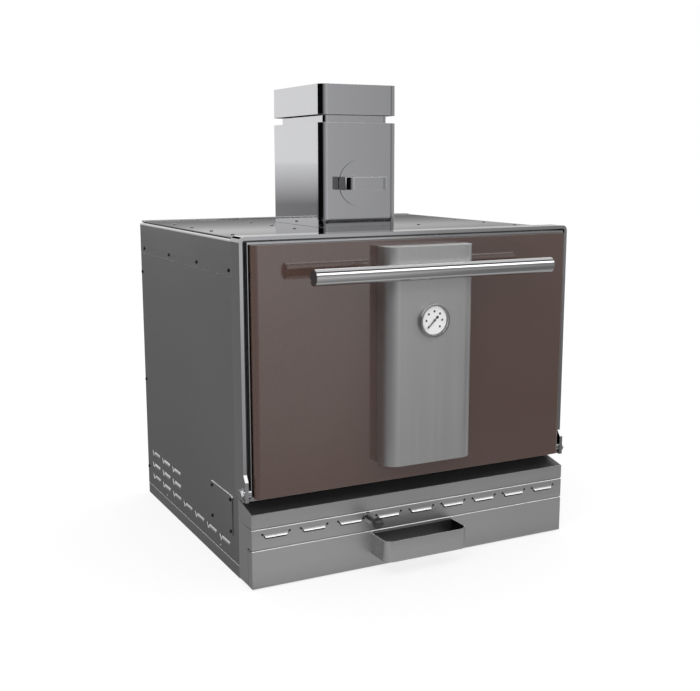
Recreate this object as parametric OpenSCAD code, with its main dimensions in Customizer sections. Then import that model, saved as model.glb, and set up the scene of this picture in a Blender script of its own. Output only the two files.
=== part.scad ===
// Charcoal oven with a drop-down door, a side-vented casing, an ash drawer
// with an air regulator above it, and a damped flue with a draught hood.
// The origin is on the ground under the middle of the casing. +Z is up,
// the door faces -Y and +X is to the right of someone who faces the door.

/* [Casing] */
// Width over the side panels
body_w = 690; // [660:5:720]
// Depth from the face of the lower housing to the back panel
body_d = 646; // [626:2:666]
// Height of the top sheet above the ground
body_h = 630.5; // [624:0.5:637]
// Thickness of the casing sheet
casing_t = 1.5; // [1.2:0.1:2]
// Height of the base pan's flange
pan_flange_h = 24; // [18:1:30]
// Height of the rail between a side panel and the top sheet
rail_h = 69.5; // [62:0.5:76]
// Outside bend radius of the rail
rail_bend = 5; // [4:0.5:7]
// Width of the rail's flange under the top sheet
rail_flange_w = 28; // [25:1:34]
// Height of the top sheet above the rails' shoulders
rail_step = 3; // [2.6:0.1:3.6]
// Distance of the top sheet's screws from the sides
top_screw_set = 30; // [27:0.5:31]
// Width of the flanges turned in at panel edges
flange_w = 15; // [12:1:18]
// Height of the lips behind neighbouring sheets
lip_h = 22; // [18:1:26]
// Clearance between neighbouring sheets
sheet_gap = 0.4; // [0.2:0.1:0.6]

/* [Front surround] */
// Thickness of the surround's folded edge
surround_t = 6.4; // [5.6:0.2:7.2]
// Depth of the surround
surround_d = 42; // [38:1:46]
// How far the surround stands above the top sheet
surround_rise = 4.5; // [3.5:0.5:5.5]
// Outside radius of the surround's upper corners
surround_corner = 10; // [8.5:0.5:14]
// Width of the slot along each upper corner of the surround
corner_slot = 5; // [3.5:0.5:6]
// How far the surround stands behind the face of the lower housing
surround_set = 17; // [15:0.5:19]
// Clearance between the surround and the front frame
surround_fit = 0.6; // [0.4:0.1:0.8]
// How far the hinge ears reach ahead of the surround
ear_reach = 8.5; // [6:0.5:10]
// Depth of the ears below the hinge line
ear_drop = 13.5; // [12:0.5:15]
// Height of the straight edge of the ears above the hinge line
ear_nose_h = 24; // [18:1:30]
// Height of the slanting edge above the nose
ear_slant_h = 12; // [8:1:16]
// Height of the solid part of the ears above the hinge line
ear_solid_h = 54; // [48:1:60]

/* [Hinge] */
// Height of the hinge line
hinge_z = 176; // [174:0.5:178]
// How far the hinge line lies behind the surround's front plane
hinge_back = 3; // [2.8:0.1:3.4]
// Radius of the hinge bolts
hinge_pin_r = 4; // [3.6:0.1:4.2]
// Radial running clearance of the hinge bolts
hinge_run = 0.05; // [0.02:0.01:0.08]
// Radius of the bolt's flange
hinge_flange_r = 11.5; // [10.5:0.5:12]
// Thickness of the bolt's flange
hinge_flange_t = 1.8; // [1.4:0.1:2.4]
// Width across corners of the bolt's hexagon, halved
hinge_hex_r = 9.6; // [8.8:0.2:10.4]
// Height of the bolt's hexagon
hinge_hex_h = 5; // [4:0.5:6]
// Radius of the collar between the door and the ear
hinge_collar_r = 10; // [9:0.5:11]
// Radius of the neck that passes through the door's side
hinge_neck_r = 5; // [4.9:0.1:5.1]
// Length of the bearing block inside the door
hinge_block_l = 34; // [28:1:40]
// Height of the bearing block
hinge_block_h = 18; // [16:1:20]
// Depth of the bearing block
hinge_block_d = 13; // [12:0.5:14]

/* [Door] */
// Distance of the door's edge from the side of the casing
door_set = 6; // [4:0.5:9]
// Depth of the door's top edge below the top sheet
door_low = 5; // [4:0.5:8]
// Depth of the door's bottom edge below the hinge line
door_drop = 12; // [11:0.5:13]
// How far the back plate stands ahead of the surround
door_proud = 3.6; // [3.4:0.1:3.8]
// Depth of the door box behind the surround's front plane
door_box_d = 16; // [15:0.5:17]
// Inset of the front panel from the back plate at the sides
skin_inset_x = 3.4; // [2.5:0.1:5]
// Inset of the front panel from the back plate at the top and bottom
skin_inset_z = 4.3; // [3:0.1:6]
// Shadow gap between the front panel and the back plate
skin_gap = 3.9; // [3:0.1:5]
// Radius of the front panel's upright edges
skin_r = 11; // [9:0.5:12]
// Thickness of the front panel
skin_t = 1.5; // [1.2:0.1:2]
// Radius of the studs that carry the front panel
skin_stud_r = 6; // [5:0.5:8]
// Depth of the inner plug behind the door box
plug_d = 29; // [24:1:32]
// Clearance between the plug and the frame's window
plug_gap = 10; // [8:0.5:12]
// Thickness of the plug's sheet
plug_t = 2; // [1.5:0.1:2.5]
// Thickness of the rope seal
seal_w = 10; // [8:0.5:12]
// Compressed depth of the rope seal
seal_d = 9.7; // [9.5:0.1:9.8]
// Distance of the seal from the edge of the window
seal_set = 4; // [3:0.5:6]

/* [Centre panel and handle] */
// Width of the centre panel
centre_w = 186; // [170:2:200]
// Height of the centre panel's foot above the front panel's foot
centre_rise = 38.4; // [30:0.4:54]
// Inset of the centre panel's top from the front panel's top
centre_drop = 9.5; // [7:0.5:14]
// Depth of the centre panel ahead of the front panel
centre_d = 46.4; // [42:0.4:50]
// Radius of the centre panel's upright edges
centre_r = 25; // [20:1:28]
// Sheet thickness of the centre panel
centre_t = 1.5; // [1.2:0.1:2]
// Distance of the bar's end from the side of the front panel
bar_set = 86.6; // [76:0.2:100]
// Radius of the handle bar
bar_r = 15; // [13:0.5:16]
// Wall of the handle bar
bar_wall = 2; // [1.5:0.1:3]
// Depth of the bar's axis below the centre panel's top
bar_drop = 44; // [38:1:50]
// Length of the bar's end plugs
bar_plug_l = 8; // [5:0.5:12]
// Distance between the screws of the handle bar
bar_screw_span = 120; // [100:5:140]
// Shank radius of the handle screws
bar_screw_r = 4; // [3:0.5:4.5]

/* [Thermometer] */
// Depth of the thermometer's axis below the centre panel's top
gauge_drop = 136; // [125:1:150]
// Radius of the bezel
bezel_r = 31.5; // [28:0.5:34]
// How far the bezel stands ahead of the centre panel
bezel_h = 8; // [7:0.5:10]
// Width of the bezel's rim
bezel_rim = 4; // [3:0.5:5]
// Radius of the case behind the bezel
gauge_case_r = 27.5; // [26:0.5:29]
// Depth of the case behind the front of the centre panel
gauge_case_d = 12; // [9:0.5:16]
// Thickness of the dial
dial_t = 1; // [0.6:0.1:1.4]
// Depth of the dial below the front of the bezel
dial_deep = 5.4; // [4.8:0.2:5.8]
// Thickness of the glass
glass_t = 1.2; // [1:0.1:1.6]
// Length of the needle's point
needle_l = 21.3; // [18:0.1:22]
// Thickness of the needle
needle_t = 0.8; // [0.6:0.1:1]
// Width of the needle's root
needle_w = 2.2; // [1.6:0.1:3]
// Radius of the needle's round counterweight
needle_weight_r = 2.3; // [1.8:0.1:3]
// Distance of the counterweight from the pivot
needle_tail_l = 7.3; // [6:0.1:9]
// Radius of the thermometer's stem
stem_r = 4; // [3:0.5:5]
// How far the stem reaches past the plug into the oven
stem_reach = 15; // [10:1:18]
// Angle from the needle's rest to the top of the dial
needle_rest = 135; // [120:5:150]

/* [Lower housing] */
// Height of the fascia's top edge
fascia_top = 141; // [139:0.5:143]
// Height of the seam below the fascia
fascia_bottom = 114.3; // [113:0.1:116]
// Height of the seam above the drawer front
vent_bottom = 74.5; // [73:0.5:76]
// Height of the shadow line at each seam
seam_gap = 1.1; // [0.8:0.1:1.4]
// Outside radius of the rolled edge at each seam
seam_r = 2.6; // [2.2:0.2:3.2]
// Depth of the fascia's side returns
fascia_side_d = 48; // [44:1:52]
// Height of the ledge where it meets the front frame
ledge_rear_z = 150.6; // [149.5:0.1:151]
// Depth of the drawer front's sides
drawer_front_d = 19; // [17:0.5:21]

/* [Front louvres] */
// Distance of the outermost louvre from the side of the casing
louvre_set = 47.4; // [45:0.2:51]
// Distance from the regulator to the nearest louvre on its right
louvre_right_set = 45.3; // [44:0.1:48]
// Number of louvres to the right of the regulator
louvres_right = 6; // [5:1:6]
// Distance from the regulator to the nearest louvre on its left
louvre_left_set = 35.4; // [35:0.1:39]
// Number of louvres to the left of the regulator
louvres_left = 3; // [2:1:3]
// Length of a front louvre
louvre_l = 52; // [48:1:53]
// Height of the line along which the louvres open
louvre_z = 96.5; // [95:0.5:98]
// Height of the louvre's tongue
louvre_h = 7.8; // [7:0.1:8.6]
// How far the tongue's flared foot stands ahead of the sheet
louvre_d = 3.2; // [2.8:0.1:3.8]
// How far the slit reaches below the tongue
louvre_slot_h = 3.4; // [3:0.1:4]
// Width of the slit at the tongue's ends
louvre_gap = 2.2; // [1.7:0.1:2.6]

/* [Side louvres] */
// Distance of the foremost louvre from the front edge of the side panel
side_louvre_front = 75.1; // [70:0.1:90]
// Number of louvres in the lowest row
side_row_n = 7; // [6:1:7]
// Number of louvres in each upper row
side_short_n = 3; // [2:1:3]
// Distance of the rearmost louvre from the back panel
side_louvre_rear = 66; // [60:1:70]
// Height of the lowest row's sill
side_louvre_z = 43; // [41:0.5:46]
// Height from one row to the next
side_row_h = 27.8; // [26:0.2:30]
// Length of a side louvre
side_louvre_l = 58; // [52:1:62]
// Height of a side louvre
side_louvre_h = 12; // [10.5:0.5:14]
// How far its tongue leans in behind the sheet
side_louvre_d = 6; // [5:0.2:7]
// Depth of the two drain holes below the lowest row's sill
drain_drop = 10; // [8:0.5:12]

/* [Side cover] */
// Length of the access cover
cover_l = 117; // [108:1:125]
// Height of the access cover
cover_h = 78; // [70:1:84]
// Distance of the cover from the front edge of the side panel
cover_set = 29; // [24:1:34]
// Height of the cover's lower edge
cover_z = 72; // [68:1:76]
// Inset of the cover's screws
cover_inset = 8; // [7:0.5:10]

/* [Air regulator] */
// Distance of the regulator to the left of the middle, as a share of half the width
reg_share = 0.3194; // [0.312:0.0001:0.321]
// Height of the regulator's rod
reg_z = 101.5; // [100.5:0.5:102.5]
// Radius of the regulator's rod
reg_rod_r = 4; // [3:0.5:5]
// Radial running clearance of the rod
reg_run = 0.08; // [0.04:0.01:0.1]
// Radius of the star collar
star_r = 10.5; // [9:0.5:10.5]
// Thickness of the star collar
star_t = 6; // [5:0.5:7]
// Radius of the ball knob
ball_r = 10.5; // [9:0.5:12]
// Distance of the ball's middle ahead of the housing
ball_reach = 40; // [36:1:44]
// Height of the regulator plate
reg_plate_h = 19; // [18:0.5:19.5]
// Thickness of the regulator plate
reg_plate_t = 1.5; // [1.2:0.1:2]
// Gap between the closed regulator plate and the sheet
reg_seat = 0.5; // [0.3:0.1:0.8]
// Radius of the guide pins
guide_r = 3; // [2.5:0.25:3.5]
// Length of the guide pins
guide_l = 32; // [30:1:34]

/* [Ash drawer] */
// Distance of the ash pan from the side of the casing
ash_side = 95; // [85:1:110]
// Distance of the ash pan from the back panel
ash_back = 127; // [100:1:160]
// Height of the ash pan's rim
ash_top = 68; // [60:1:70]
// Height of the ash pan's floor
ash_z = 8; // [7.5:0.5:10]
// Wall of the ash pan
ash_t = 1.5; // [1.2:0.1:2]
// Length of the drawer handle
grip_l = 182; // [170:2:194]
// Distance of the handle's middle to the left of the middle
grip_x = 11; // [0:1:14]
// How far the handle stands ahead of the drawer
grip_d = 58.4; // [52:0.4:64]
// Height of the handle strip
grip_h = 40; // [34:1:44]
// Height of the handle's lower edge
grip_z = 27.5; // [24:0.5:30]
// Outside radius of the handle's corners
grip_r = 19; // [15:1:22]
// Thickness of the handle strip
grip_t = 2.5; // [2:0.1:3]

/* [Cavity] */
// Width of the insulated wall at each side of the oven
wall_w = 75; // [70:1:85]
// Depth of the oven's roof below the top sheet
roof_d = 30.5; // [28.5:0.5:32.5]
// Depth of the insulated wall behind the oven
wall_d = 69; // [61:1:86]
// Thickness of the oven lining
liner_t = 3; // [2:0.5:4]
// Distance of the front frame behind the surround's front plane
frame_set = 26; // [25.8:0.1:26.6]
// Thickness of the front frame
frame_t = 2; // [1.5:0.1:2.5]
// Height of the front frame's lower edge
frame_z = 152; // [151.8:0.1:153]
// Width of the frame's window beyond the oven's inside, each side
window_side = 2; // [0:0.5:3]
// Height of the window's sill
sill_z = 196; // [194:0.5:198]
// Drop of the window's head below the oven's roof
window_head = 2; // [0:0.5:3]
// Corner radius of the window
window_r = 12; // [8:1:16]
// Clearance around the insulation
wool_gap = 0.5; // [0.3:0.1:1]

/* [Fire] */
// Height of the deck that carries the firebox
deck_z = 187; // [184:0.5:189]
// Thickness of the firebox rim
fire_rim_t = 5.5; // [4:0.5:6]
// Width of the firebox rim
fire_rim_w = 13; // [10:1:16]
// Height of the firebox floor
fire_z = 128; // [120:1:134]
// How far each wall of the firebox leans in
fire_lean = 28; // [20:1:34]
// Wall of the firebox
fire_t = 6; // [5:0.5:8]
// Thickness of the fire grate
grate_t = 12; // [8:1:14]
// Number of slots in the fire grate
grate_n = 15; // [11:1:19]
// Share of the slot pitch that is open
grate_open_share = 0.45; // [0.3:0.05:0.6]
// Height of the lower rack's shelf
rack_low_z = 300; // [285:1:315]
// Height from one rack to the next
rack_step = 130; // [110:1:140]
// Distance of the racks from the oven's back wall
rack_back = 32; // [22:1:60]
// Width of a runner's shelf
runner_w = 20; // [16:1:24]
// Thickness of the runners
runner_t = 2; // [1.5:0.1:3]
// Height of the runner's back
runner_h = 18; // [14:1:24]
// Width of the rack's frame strip
rack_strip = 6; // [5:0.5:8]
// Height of the rack's frame strip
rack_frame_h = 8; // [7:0.5:10]
// Corner radius of the rack
rack_corner = 16; // [12:1:22]
// Radius of the rack's rods
rack_bar_r = 2.5; // [2:0.25:3]
// Number of rods in a rack
rack_bar_n = 19; // [13:1:23]

/* [Flue] */
// Width of the flue box
flue_w = 178; // [170:1:184]
// Depth of the flue box
flue_d = 243; // [235:1:250]
// Distance of the flue's middle behind the middle of the casing
flue_y = 43.5; // [36:0.5:50]
// Height of the flue box
flue_h = 208.5; // [202:0.5:214]
// Radius of the flue box's upright edges
flue_r = 18; // [14:0.5:20]
// Sheet thickness of the flue
flue_t = 1.5; // [1.2:0.1:2]
// Inset of the neck from the flue box
neck_inset = 16; // [14:0.5:18]
// Height of the gap between the flue box and the hood
hood_gap = 15; // [12:0.5:18]
// Height of the hood
hood_h = 60; // [54:1:66]
// How far the neck rises inside the hood
neck_rise = 28; // [22:1:34]
// Width of the tabs that carry the hood
tab_w = 30; // [24:1:36]
// Width of the throat between the oven and the flue
throat_w = 140; // [120:2:150]
// Depth of the throat
throat_d = 200; // [180:2:210]

/* [Damper] */
// Height of the damper's shaft above the top sheet
damper_h = 88; // [87:0.5:92]
// Radius of the damper's shaft
shaft_r = 5; // [4:0.5:6]
// Radial running clearance of the shaft
shaft_run = 0.08; // [0.04:0.01:0.1]
// Gap between the damper blade and the flue wall
blade_gap = 6.5; // [6:0.5:8]
// Thickness of the damper blade
blade_t = 3; // [2:0.5:4]
// Wall of the sleeve that holds the blade on its shaft
sleeve_wall = 2; // [1.5:0.5:3]
// Radius of the damper's disc
disc_r = 46.5; // [44:0.5:50]
// Thickness of the damper's disc
disc_t = 1.5; // [1:0.1:2]
// Running gap between the disc and the flue
disc_gap = 0.3; // [0.2:0.1:0.5]
// Length of the damper's handle
lever_l = 94; // [86:1:98]
// Height of the handle's strip
lever_h = 26.5; // [22:0.5:30]
// How far the handle stands ahead of the flue
lever_d = 42; // [36:1:46]
// Outside radius of the handle's corners
lever_r = 15; // [10:1:18]
// Thickness of the handle's strip
lever_t = 2.5; // [2:0.1:3]

/* [Fasteners] */
// Radius of a casing screw's head
screw_r = 4; // [3:0.25:4.5]
// Height of a casing screw's head
screw_h = 2; // [1.5:0.1:2.4]
// Radius of a casing screw's shank
shank_r = 2; // [1.5:0.1:2.2]
// Length of a casing screw's shank
shank_l = 8; // [6:0.5:9]
// Clearance of a screw's hole
hole_gap = 0.1; // [0.05:0.05:0.2]
// Radius of the small screws inside the surround
pin_screw_r = 3; // [2.5:0.1:3.5]
// Height of the small screws inside the surround
pin_screw_h = 1.6; // [1.2:0.1:1.8]
// Depth of the jambs' screws below the top sheet
jamb_screw_drop = 30; // [20:1:50]

/* [Hidden] */
$fn = 48;
// Overrun of every cut
cut = 1;

side_x = body_w/2;
front_y = -body_d/2;
rear_y = body_d/2;
face_y = front_y + surround_set;
surround_rear = face_y + surround_d;
frame_y = face_y + frame_set;
side_front = surround_rear + lip_h/4;
panel_top = body_h - rail_h;
plate_z = body_h - casing_t;
inner_x = side_x - casing_t;
rail_z = body_h - rail_step;
rail_leg = side_x - rail_bend - 3*casing_t;
steel = "gray";
bright = "silver";
dark = [0.2, 0.2, 0.21];
enamel = [0.33, 0.27, 0.25];

surround_in = side_x + surround_fit;
surround_out = surround_in + surround_t;
surround_top = body_h + surround_rise;
surround_roof = surround_top - surround_t;
skin_wall = casing_t;

hinge_y = face_y + hinge_back;
door_x = side_x - door_set;
door_top = body_h - door_low;
door_z = hinge_z - door_drop;
door_face = face_y - door_proud;
door_rear = face_y + door_box_d;
skin_x = door_x - skin_inset_x;
skin_rear = door_face - skin_gap;
skin_face = skin_rear - skin_r;
skin_z = door_z + skin_inset_z;
skin_top = door_top - skin_inset_z;

cavity_w = body_w - 2*wall_w;
cavity_top_z = body_h - roof_d;
cavity_rear = rear_y - wall_d;
window_x = cavity_w/2 + window_side;
window_z = cavity_top_z - window_head;
plug_x = window_x - plug_gap;
plug_z = sill_z + plug_gap;
plug_top = window_z - plug_gap;
plug_rear = door_rear + plug_d;
seal_x = window_x + seal_set;
seal_z = sill_z - seal_set;
seal_top = window_z + seal_set;

centre_top = skin_top - centre_drop;
centre_z = skin_z + centre_rise;
centre_h = centre_top - centre_z;
centre_face = skin_face - centre_d;
bar_z = centre_top - bar_drop;
bar_touch = 0.2;
bar_y = centre_face - bar_r - bar_touch;
bar_l = 2*(skin_x - bar_set);
gauge_z = centre_top - gauge_drop;
bezel_face = centre_face - bezel_h;
dial_y = bezel_face + dial_deep;
glass_set = 1;
glass_y = bezel_face + glass_set;
needle_lift = 1;
needle_y = dial_y - needle_lift - needle_t;
hub_r = 1.4;
pivot_r = 0.6;
pivot_run = 0.05;
stem_end = plug_rear + stem_reach;

liner_rear = cavity_rear + liner_t;
liner_front = frame_y + frame_t;
liner_x = cavity_w/2 + liner_t;
deck_top = deck_z + casing_t;
fire_x = cavity_w/2 - wool_gap;
fire_front = liner_front + wool_gap;
fire_rear = liner_rear - liner_t - wool_gap;
fire_top = deck_top + fire_rim_t;
well_x = fire_x - fire_rim_w;
well_front = fire_front + fire_rim_w;
well_rear = fire_rear - fire_rim_w;
rack_front = liner_front + 2*runner_w;
rack_l = cavity_rear - rack_back - rack_front;
rack_x = cavity_w/2 - 2*rack_bar_r;
grate_edge = 3;
grate_gap = 1.2;
grate_x = well_x - fire_lean - fire_t - grate_gap;
grate_front = well_front + fire_lean + fire_t + grate_gap;
grate_rear = well_rear - fire_lean - fire_t - grate_gap;

flue_front = flue_y - flue_d/2;
flue_top = body_h + flue_h;
damper_z = body_h + damper_h;
neck_w = flue_w - 2*neck_inset;
neck_d = flue_d - 2*neck_inset;
neck_r = flue_r/2;
neck_top = flue_top + hood_gap + neck_rise;
hood_z = flue_top + hood_gap;
hood_top = hood_z + hood_h;

drawer_face = front_y;
drawer_rear = front_y + drawer_front_d;
drawer_bottom = casing_t;
ledge_slope = (ledge_rear_z - fascia_top)/(frame_y - front_y);
cheek_gap = 1;
floor_front = drawer_rear + cheek_gap;
vent_top = fascia_bottom - seam_gap;
drawer_top = vent_bottom - seam_gap;
runner_gap = 2;
ash_w = body_w - 2*ash_side;
runner_x = ash_w/2 + runner_gap;
slide_gap = 0.3;
ash_front = drawer_rear;
ash_rear = rear_y - ash_back;

cover_front = side_front + cover_set;

reg_x = reg_share*side_x;
louvre_edge = side_x - louvre_set;
louvre_pitch = (louvre_edge + reg_x - louvre_right_set)/(louvres_right - 1);
louvre_left_pitch = (louvre_edge - reg_x - louvre_left_set)/(louvres_left - 1);
right_louvres = [for (i = [0:louvres_right - 1]) louvre_edge - i*louvre_pitch];
left_louvres = [for (i = [0:louvres_left - 1]) -louvre_edge + i*louvre_left_pitch];
guides = [louvre_edge - louvre_pitch/2, -louvre_edge + louvre_left_pitch/2];

side_pitch = (rear_y - side_louvre_rear - side_front - side_louvre_front)/(side_row_n - 1);
side_louvres = concat(
    [for (i = [0:side_row_n - 1]) [rear_y - side_louvre_rear - i*side_pitch, side_louvre_z]],
    [for (k = [1:2], i = [0:side_short_n - 1])
        [rear_y - side_louvre_rear - i*side_pitch, side_louvre_z + k*side_row_h]]);

// Draw of a louvre's ends for its height, height of its slit for the tongue's,
// and the knee of the front tongue's flare
louvre_end_share = 0.67;
louvre_slit_share = 0.75;
louvre_knee_shares = [0.38, 0.27];

// Places of the screws, as shares of the lengths that they follow
strip_shares = [0.05, 0.348, 0.647, 0.953];
rear_edge_shares = [0.075, 0.46, 0.92];
top_row_shares = [0.145, 0.34, 0.54, 0.735, 0.93];
flue_screw_shares = [0.02, 0.5, 0.98];
back_shares = [0.06, 0.5, 0.94];
surround_screw_shares = [-0.84, 0.087, 0.84];
drain_shares = [0.171, 0.756];
strip_drop = 59;
rear_inset = 6;
flue_screw_set = 55;
back_inset = 10;

strip_y = [for (s = strip_shares) surround_rear + s*(rear_y - surround_rear)];
rear_edge_z = [for (s = rear_edge_shares) pan_flange_h + s*(panel_top - pan_flange_h)];
side_spots = concat(
    [for (y = strip_y) [y, body_h - strip_drop]],
    [for (z = rear_edge_z) [rear_y - rear_inset, z]]);
drain_spots = [for (s = drain_shares)
    [side_front + s*(rear_y - side_front), side_louvre_z - drain_drop]];
cover_spots = [for (y = [cover_front + cover_inset, cover_front + cover_l - cover_inset],
    z = [cover_z + cover_inset, cover_z + cover_h - cover_inset]) [y, z]];
top_spots = concat(
    [for (x = [-1, 1], s = top_row_shares)
        [x*(side_x - top_screw_set), surround_rear + s*(rear_y - surround_rear)]],
    [for (x = [-1, 1], s = flue_screw_shares)
        [x*(flue_w/2 + flue_screw_set), flue_front + s*flue_d]]);
back_spots = concat(
    [for (x = [-1, 1], s = back_shares)
        [x*(inner_x - back_inset), pan_flange_h + s*(body_h - pan_flange_h)]],
    [for (z = [0, 1]) [0, z == 0 ? pan_flange_h + back_inset : plate_z - back_inset]]);

// Outline with true arcs at its corners, centred
module round_rect(w, d, r) {
    square([w - 2*r, d], center = true);
    square([w, d - 2*r], center = true);
    for (x = [-1, 1], y = [-1, 1]) translate([x*(w/2 - r), y*(d/2 - r)]) circle(r);
}

// Outline rounded at its two -Y corners only, with its back on y = 0
module nose_rect(w, d, r) {
    translate([-w/2, r - d]) square([w, d - r]);
    translate([r - w/2, -d]) square([w - 2*r, d]);
    intersection() {
        for (x = [-1, 1]) translate([x*(w/2 - r), r - d]) circle(r);
        translate([-w/2, -d]) square([w, d]);
    }
}

// Upright tube of rounded section
module round_tube(w, d, r, wall, h) {
    difference() {
        linear_extrude(h) round_rect(w, d, r);
        translate([0, 0, -cut]) linear_extrude(h + 2*cut)
            round_rect(w - 2*wall, d - 2*wall, max(r - wall, wall/2));
    }
}

// Extrudes an (x, z) outline from y0 to y1
module along_y(y0, y1) {
    translate([0, y1, 0]) rotate([90, 0, 0]) linear_extrude(y1 - y0) children();
}

// Extrudes a (y, z) outline from x0 to x1
module along_x(x0, x1) {
    translate([x0, 0, 0]) rotate([90, 0, 90]) linear_extrude(x1 - x0) children();
}

// Box between two corners
module block(a, b) {
    translate(a) cube(b - a);
}

// Cylinder along X from x0 to x1
module bar_x(r, x0, x1) {
    translate([x0, 0, 0]) rotate([0, 90, 0]) cylinder(r = r, h = x1 - x0);
}

// Cylinder along Y from y0 to y1
module bar_y_axis(r, y0, y1) {
    translate([0, y0, 0]) rotate([-90, 0, 0]) cylinder(r = r, h = y1 - y0);
}

// Domed screw with its seat on z = 0 and its head upwards
module screw(r = screw_r, h = screw_h, l = shank_l) {
    dome = (r*r + h*h)/(2*h);
    intersection() {
        translate([0, 0, h - dome]) sphere(dome);
        cylinder(r = r, h = h);
    }
    translate([0, 0, -l]) cylinder(r = shank_r, h = l + h/2);
}

// Outline of a louvre in its sheet from the height low to h; its ends draw in
// towards the foot, and gap widens it at both
module louvre_outline(l, h, low, gap) {
    drawn = louvre_end_share*(h - low);
    polygon([[-l/2 - gap, h], [l/2 + gap, h], [l/2 + gap - drawn, low], [drawn - l/2 - gap, low]]);
}

// Slit round the foot and the ends of a flared louvre, with a relief at each end,
// through a sheet with its face on y = 0
module flared_slit(l, h, drop, gap, wall) {
    top = h*louvre_slit_share;
    along_y(-cut, wall + cut) {
        intersection() {
            louvre_outline(l, h, -drop, gap);
            translate([-l, -drop]) square([2*l, drop + top]);
        }
        for (s = [-1, 1]) translate([s*(l/2 + gap - louvre_end_share*(h - top)), top]) circle(gap);
    }
}

// Tongue inside that slit, hung from its upper edge, with its foot flared towards -Y
module flared_tongue(l, h, d, wall) {
    knee = [d*louvre_knee_shares[0], h*louvre_knee_shares[1]];
    top = h*louvre_slit_share;
    intersection() {
        along_x(-l/2, l/2) polygon([[-d, 0], [-knee.x, knee.y], [0, top], [0, h], [wall, h], [wall, top],
            [wall - knee.x, knee.y], [wall - d, 0]]);
        along_y(-d, wall) louvre_outline(l, h, 0, 0);
    }
}

// Tongue that stands on the lower edge of its opening and leans inwards
module leaning_tongue(l, h, d, wall) {
    top = h - sheet_gap;
    intersection() {
        along_x(-l/2, l/2) polygon([[0, -wall], [0, 0], [d, top], [d + wall, top], [wall, -wall]]);
        along_y(0, d + wall) louvre_outline(l, h, -wall, -sheet_gap);
    }
}

// Puts a louvre on the right-hand side panel
module on_side(place) {
    translate([side_x, place.x, place.y]) rotate([0, 0, 90]) children();
}

// Tray floor over the whole plan, with an upstanding flange behind the housing
module base_pan() {
    color(steel) {
        difference() {
            block([-side_x, side_front, 0], [side_x, rear_y, pan_flange_h]);
            block([-inner_x, side_front - cut, casing_t],
                [inner_x, rear_y - casing_t, pan_flange_h + cut]);
        }
        block([sheet_gap - inner_x, floor_front, 0], [inner_x - sheet_gap, side_front + cut, casing_t]);
    }
}

// Side sheet with turned-in front edge, joggled lips and rows of louvres
module side_panel() {
    low = pan_flange_h + sheet_gap;
    high = panel_top - sheet_gap;
    difference() {
        union() {
            block([inner_x, side_front + sheet_gap, low], [side_x, rear_y, high]);
            block([side_x - flange_w, side_front + sheet_gap, low],
                [side_x, side_front + sheet_gap + casing_t, high]);
            for (z = [low - lip_h + casing_t, high - casing_t]) {
                block([inner_x - casing_t, side_front + flange_w, z],
                    [inner_x, rear_y - 2*flange_w, z + lip_h]);
            }
        }
        for (place = side_louvres) {
            on_side(place) along_y(-cut, casing_t + cut)
                louvre_outline(side_louvre_l, side_louvre_h, 0, 0);
        }
        for (spot = concat(side_spots, cover_spots, drain_spots)) {
            translate([0, spot.x, spot.y])
                bar_x(shank_r + hole_gap, side_x - flange_w, side_x + cut);
        }
    }
    for (place = side_louvres) {
        on_side(place) leaning_tongue(side_louvre_l, side_louvre_h, side_louvre_d, casing_t);
    }
}

module left_side_panel() {
    color(steel) mirror([1, 0, 0]) side_panel();
}

module right_side_panel() {
    color(steel) side_panel();
}

// Rail with a rounded shoulder and a sunk flange that carries the top sheet
module top_rail() {
    shoulder = side_x - rail_bend;
    flange_z = plate_z - casing_t;
    difference() {
        along_y(surround_rear + sheet_gap, rear_y) {
            translate([inner_x, panel_top]) square([casing_t, rail_z - rail_bend - panel_top]);
            translate([shoulder, rail_z - rail_bend]) intersection() {
                difference() {
                    circle(rail_bend);
                    circle(rail_bend - casing_t);
                }
                square(rail_bend);
            }
            translate([rail_leg, rail_z - casing_t]) square([shoulder - rail_leg, casing_t]);
            translate([rail_leg, rail_z - casing_t]) square([casing_t, plate_z - rail_z + casing_t]);
            translate([rail_leg - rail_flange_w, flange_z]) square([rail_flange_w + casing_t, casing_t]);
        }
        for (y = strip_y) {
            translate([0, y, body_h - strip_drop]) bar_x(shank_r + hole_gap, inner_x - cut, side_x + cut);
        }
        for (spot = top_spots) {
            translate([spot.x, spot.y, flange_z - cut]) cylinder(r = shank_r + hole_gap, h = 2*cut + casing_t);
        }
    }
}

module left_top_rail() {
    color(steel) mirror([1, 0, 0]) top_rail();
}

module right_top_rail() {
    color(steel) top_rail();
}

// Back sheet between the side panels, with its edges turned forward
module back_panel() {
    x = inner_x - casing_t - sheet_gap;
    low = pan_flange_h + sheet_gap;
    high = plate_z - casing_t - sheet_gap;
    color(steel) difference() {
        union() {
            block([-x, rear_y - casing_t, low], [x, rear_y, high]);
            for (s = [-1, 1]) {
                block([s*x - (s + 1)*casing_t/2, rear_y - 2*flange_w + casing_t, low],
                    [s*x + (1 - s)*casing_t/2, rear_y, high]);
            }
            block([-x, rear_y - flange_w, low - lip_h/2], [x, rear_y - casing_t, low + casing_t]);
        }
        for (s = [-1, 1], spot = side_spots) {
            translate([0, spot.x, spot.y]) bar_x(shank_r + hole_gap,
                s > 0 ? x - flange_w : -side_x, s > 0 ? side_x : flange_w - x);
        }
        for (s = [-1, 1]) translate([s*side_x, rear_y, rail_z])
            cube([2*(side_x - rail_leg + sheet_gap), 6*flange_w, 4*casing_t], center = true);
        for (spot = back_spots) {
            translate([spot.x, 0, spot.y])
                bar_y_axis(shank_r + hole_gap, rear_y - flange_w - cut, rear_y + cut);
        }
    }
}

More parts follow.
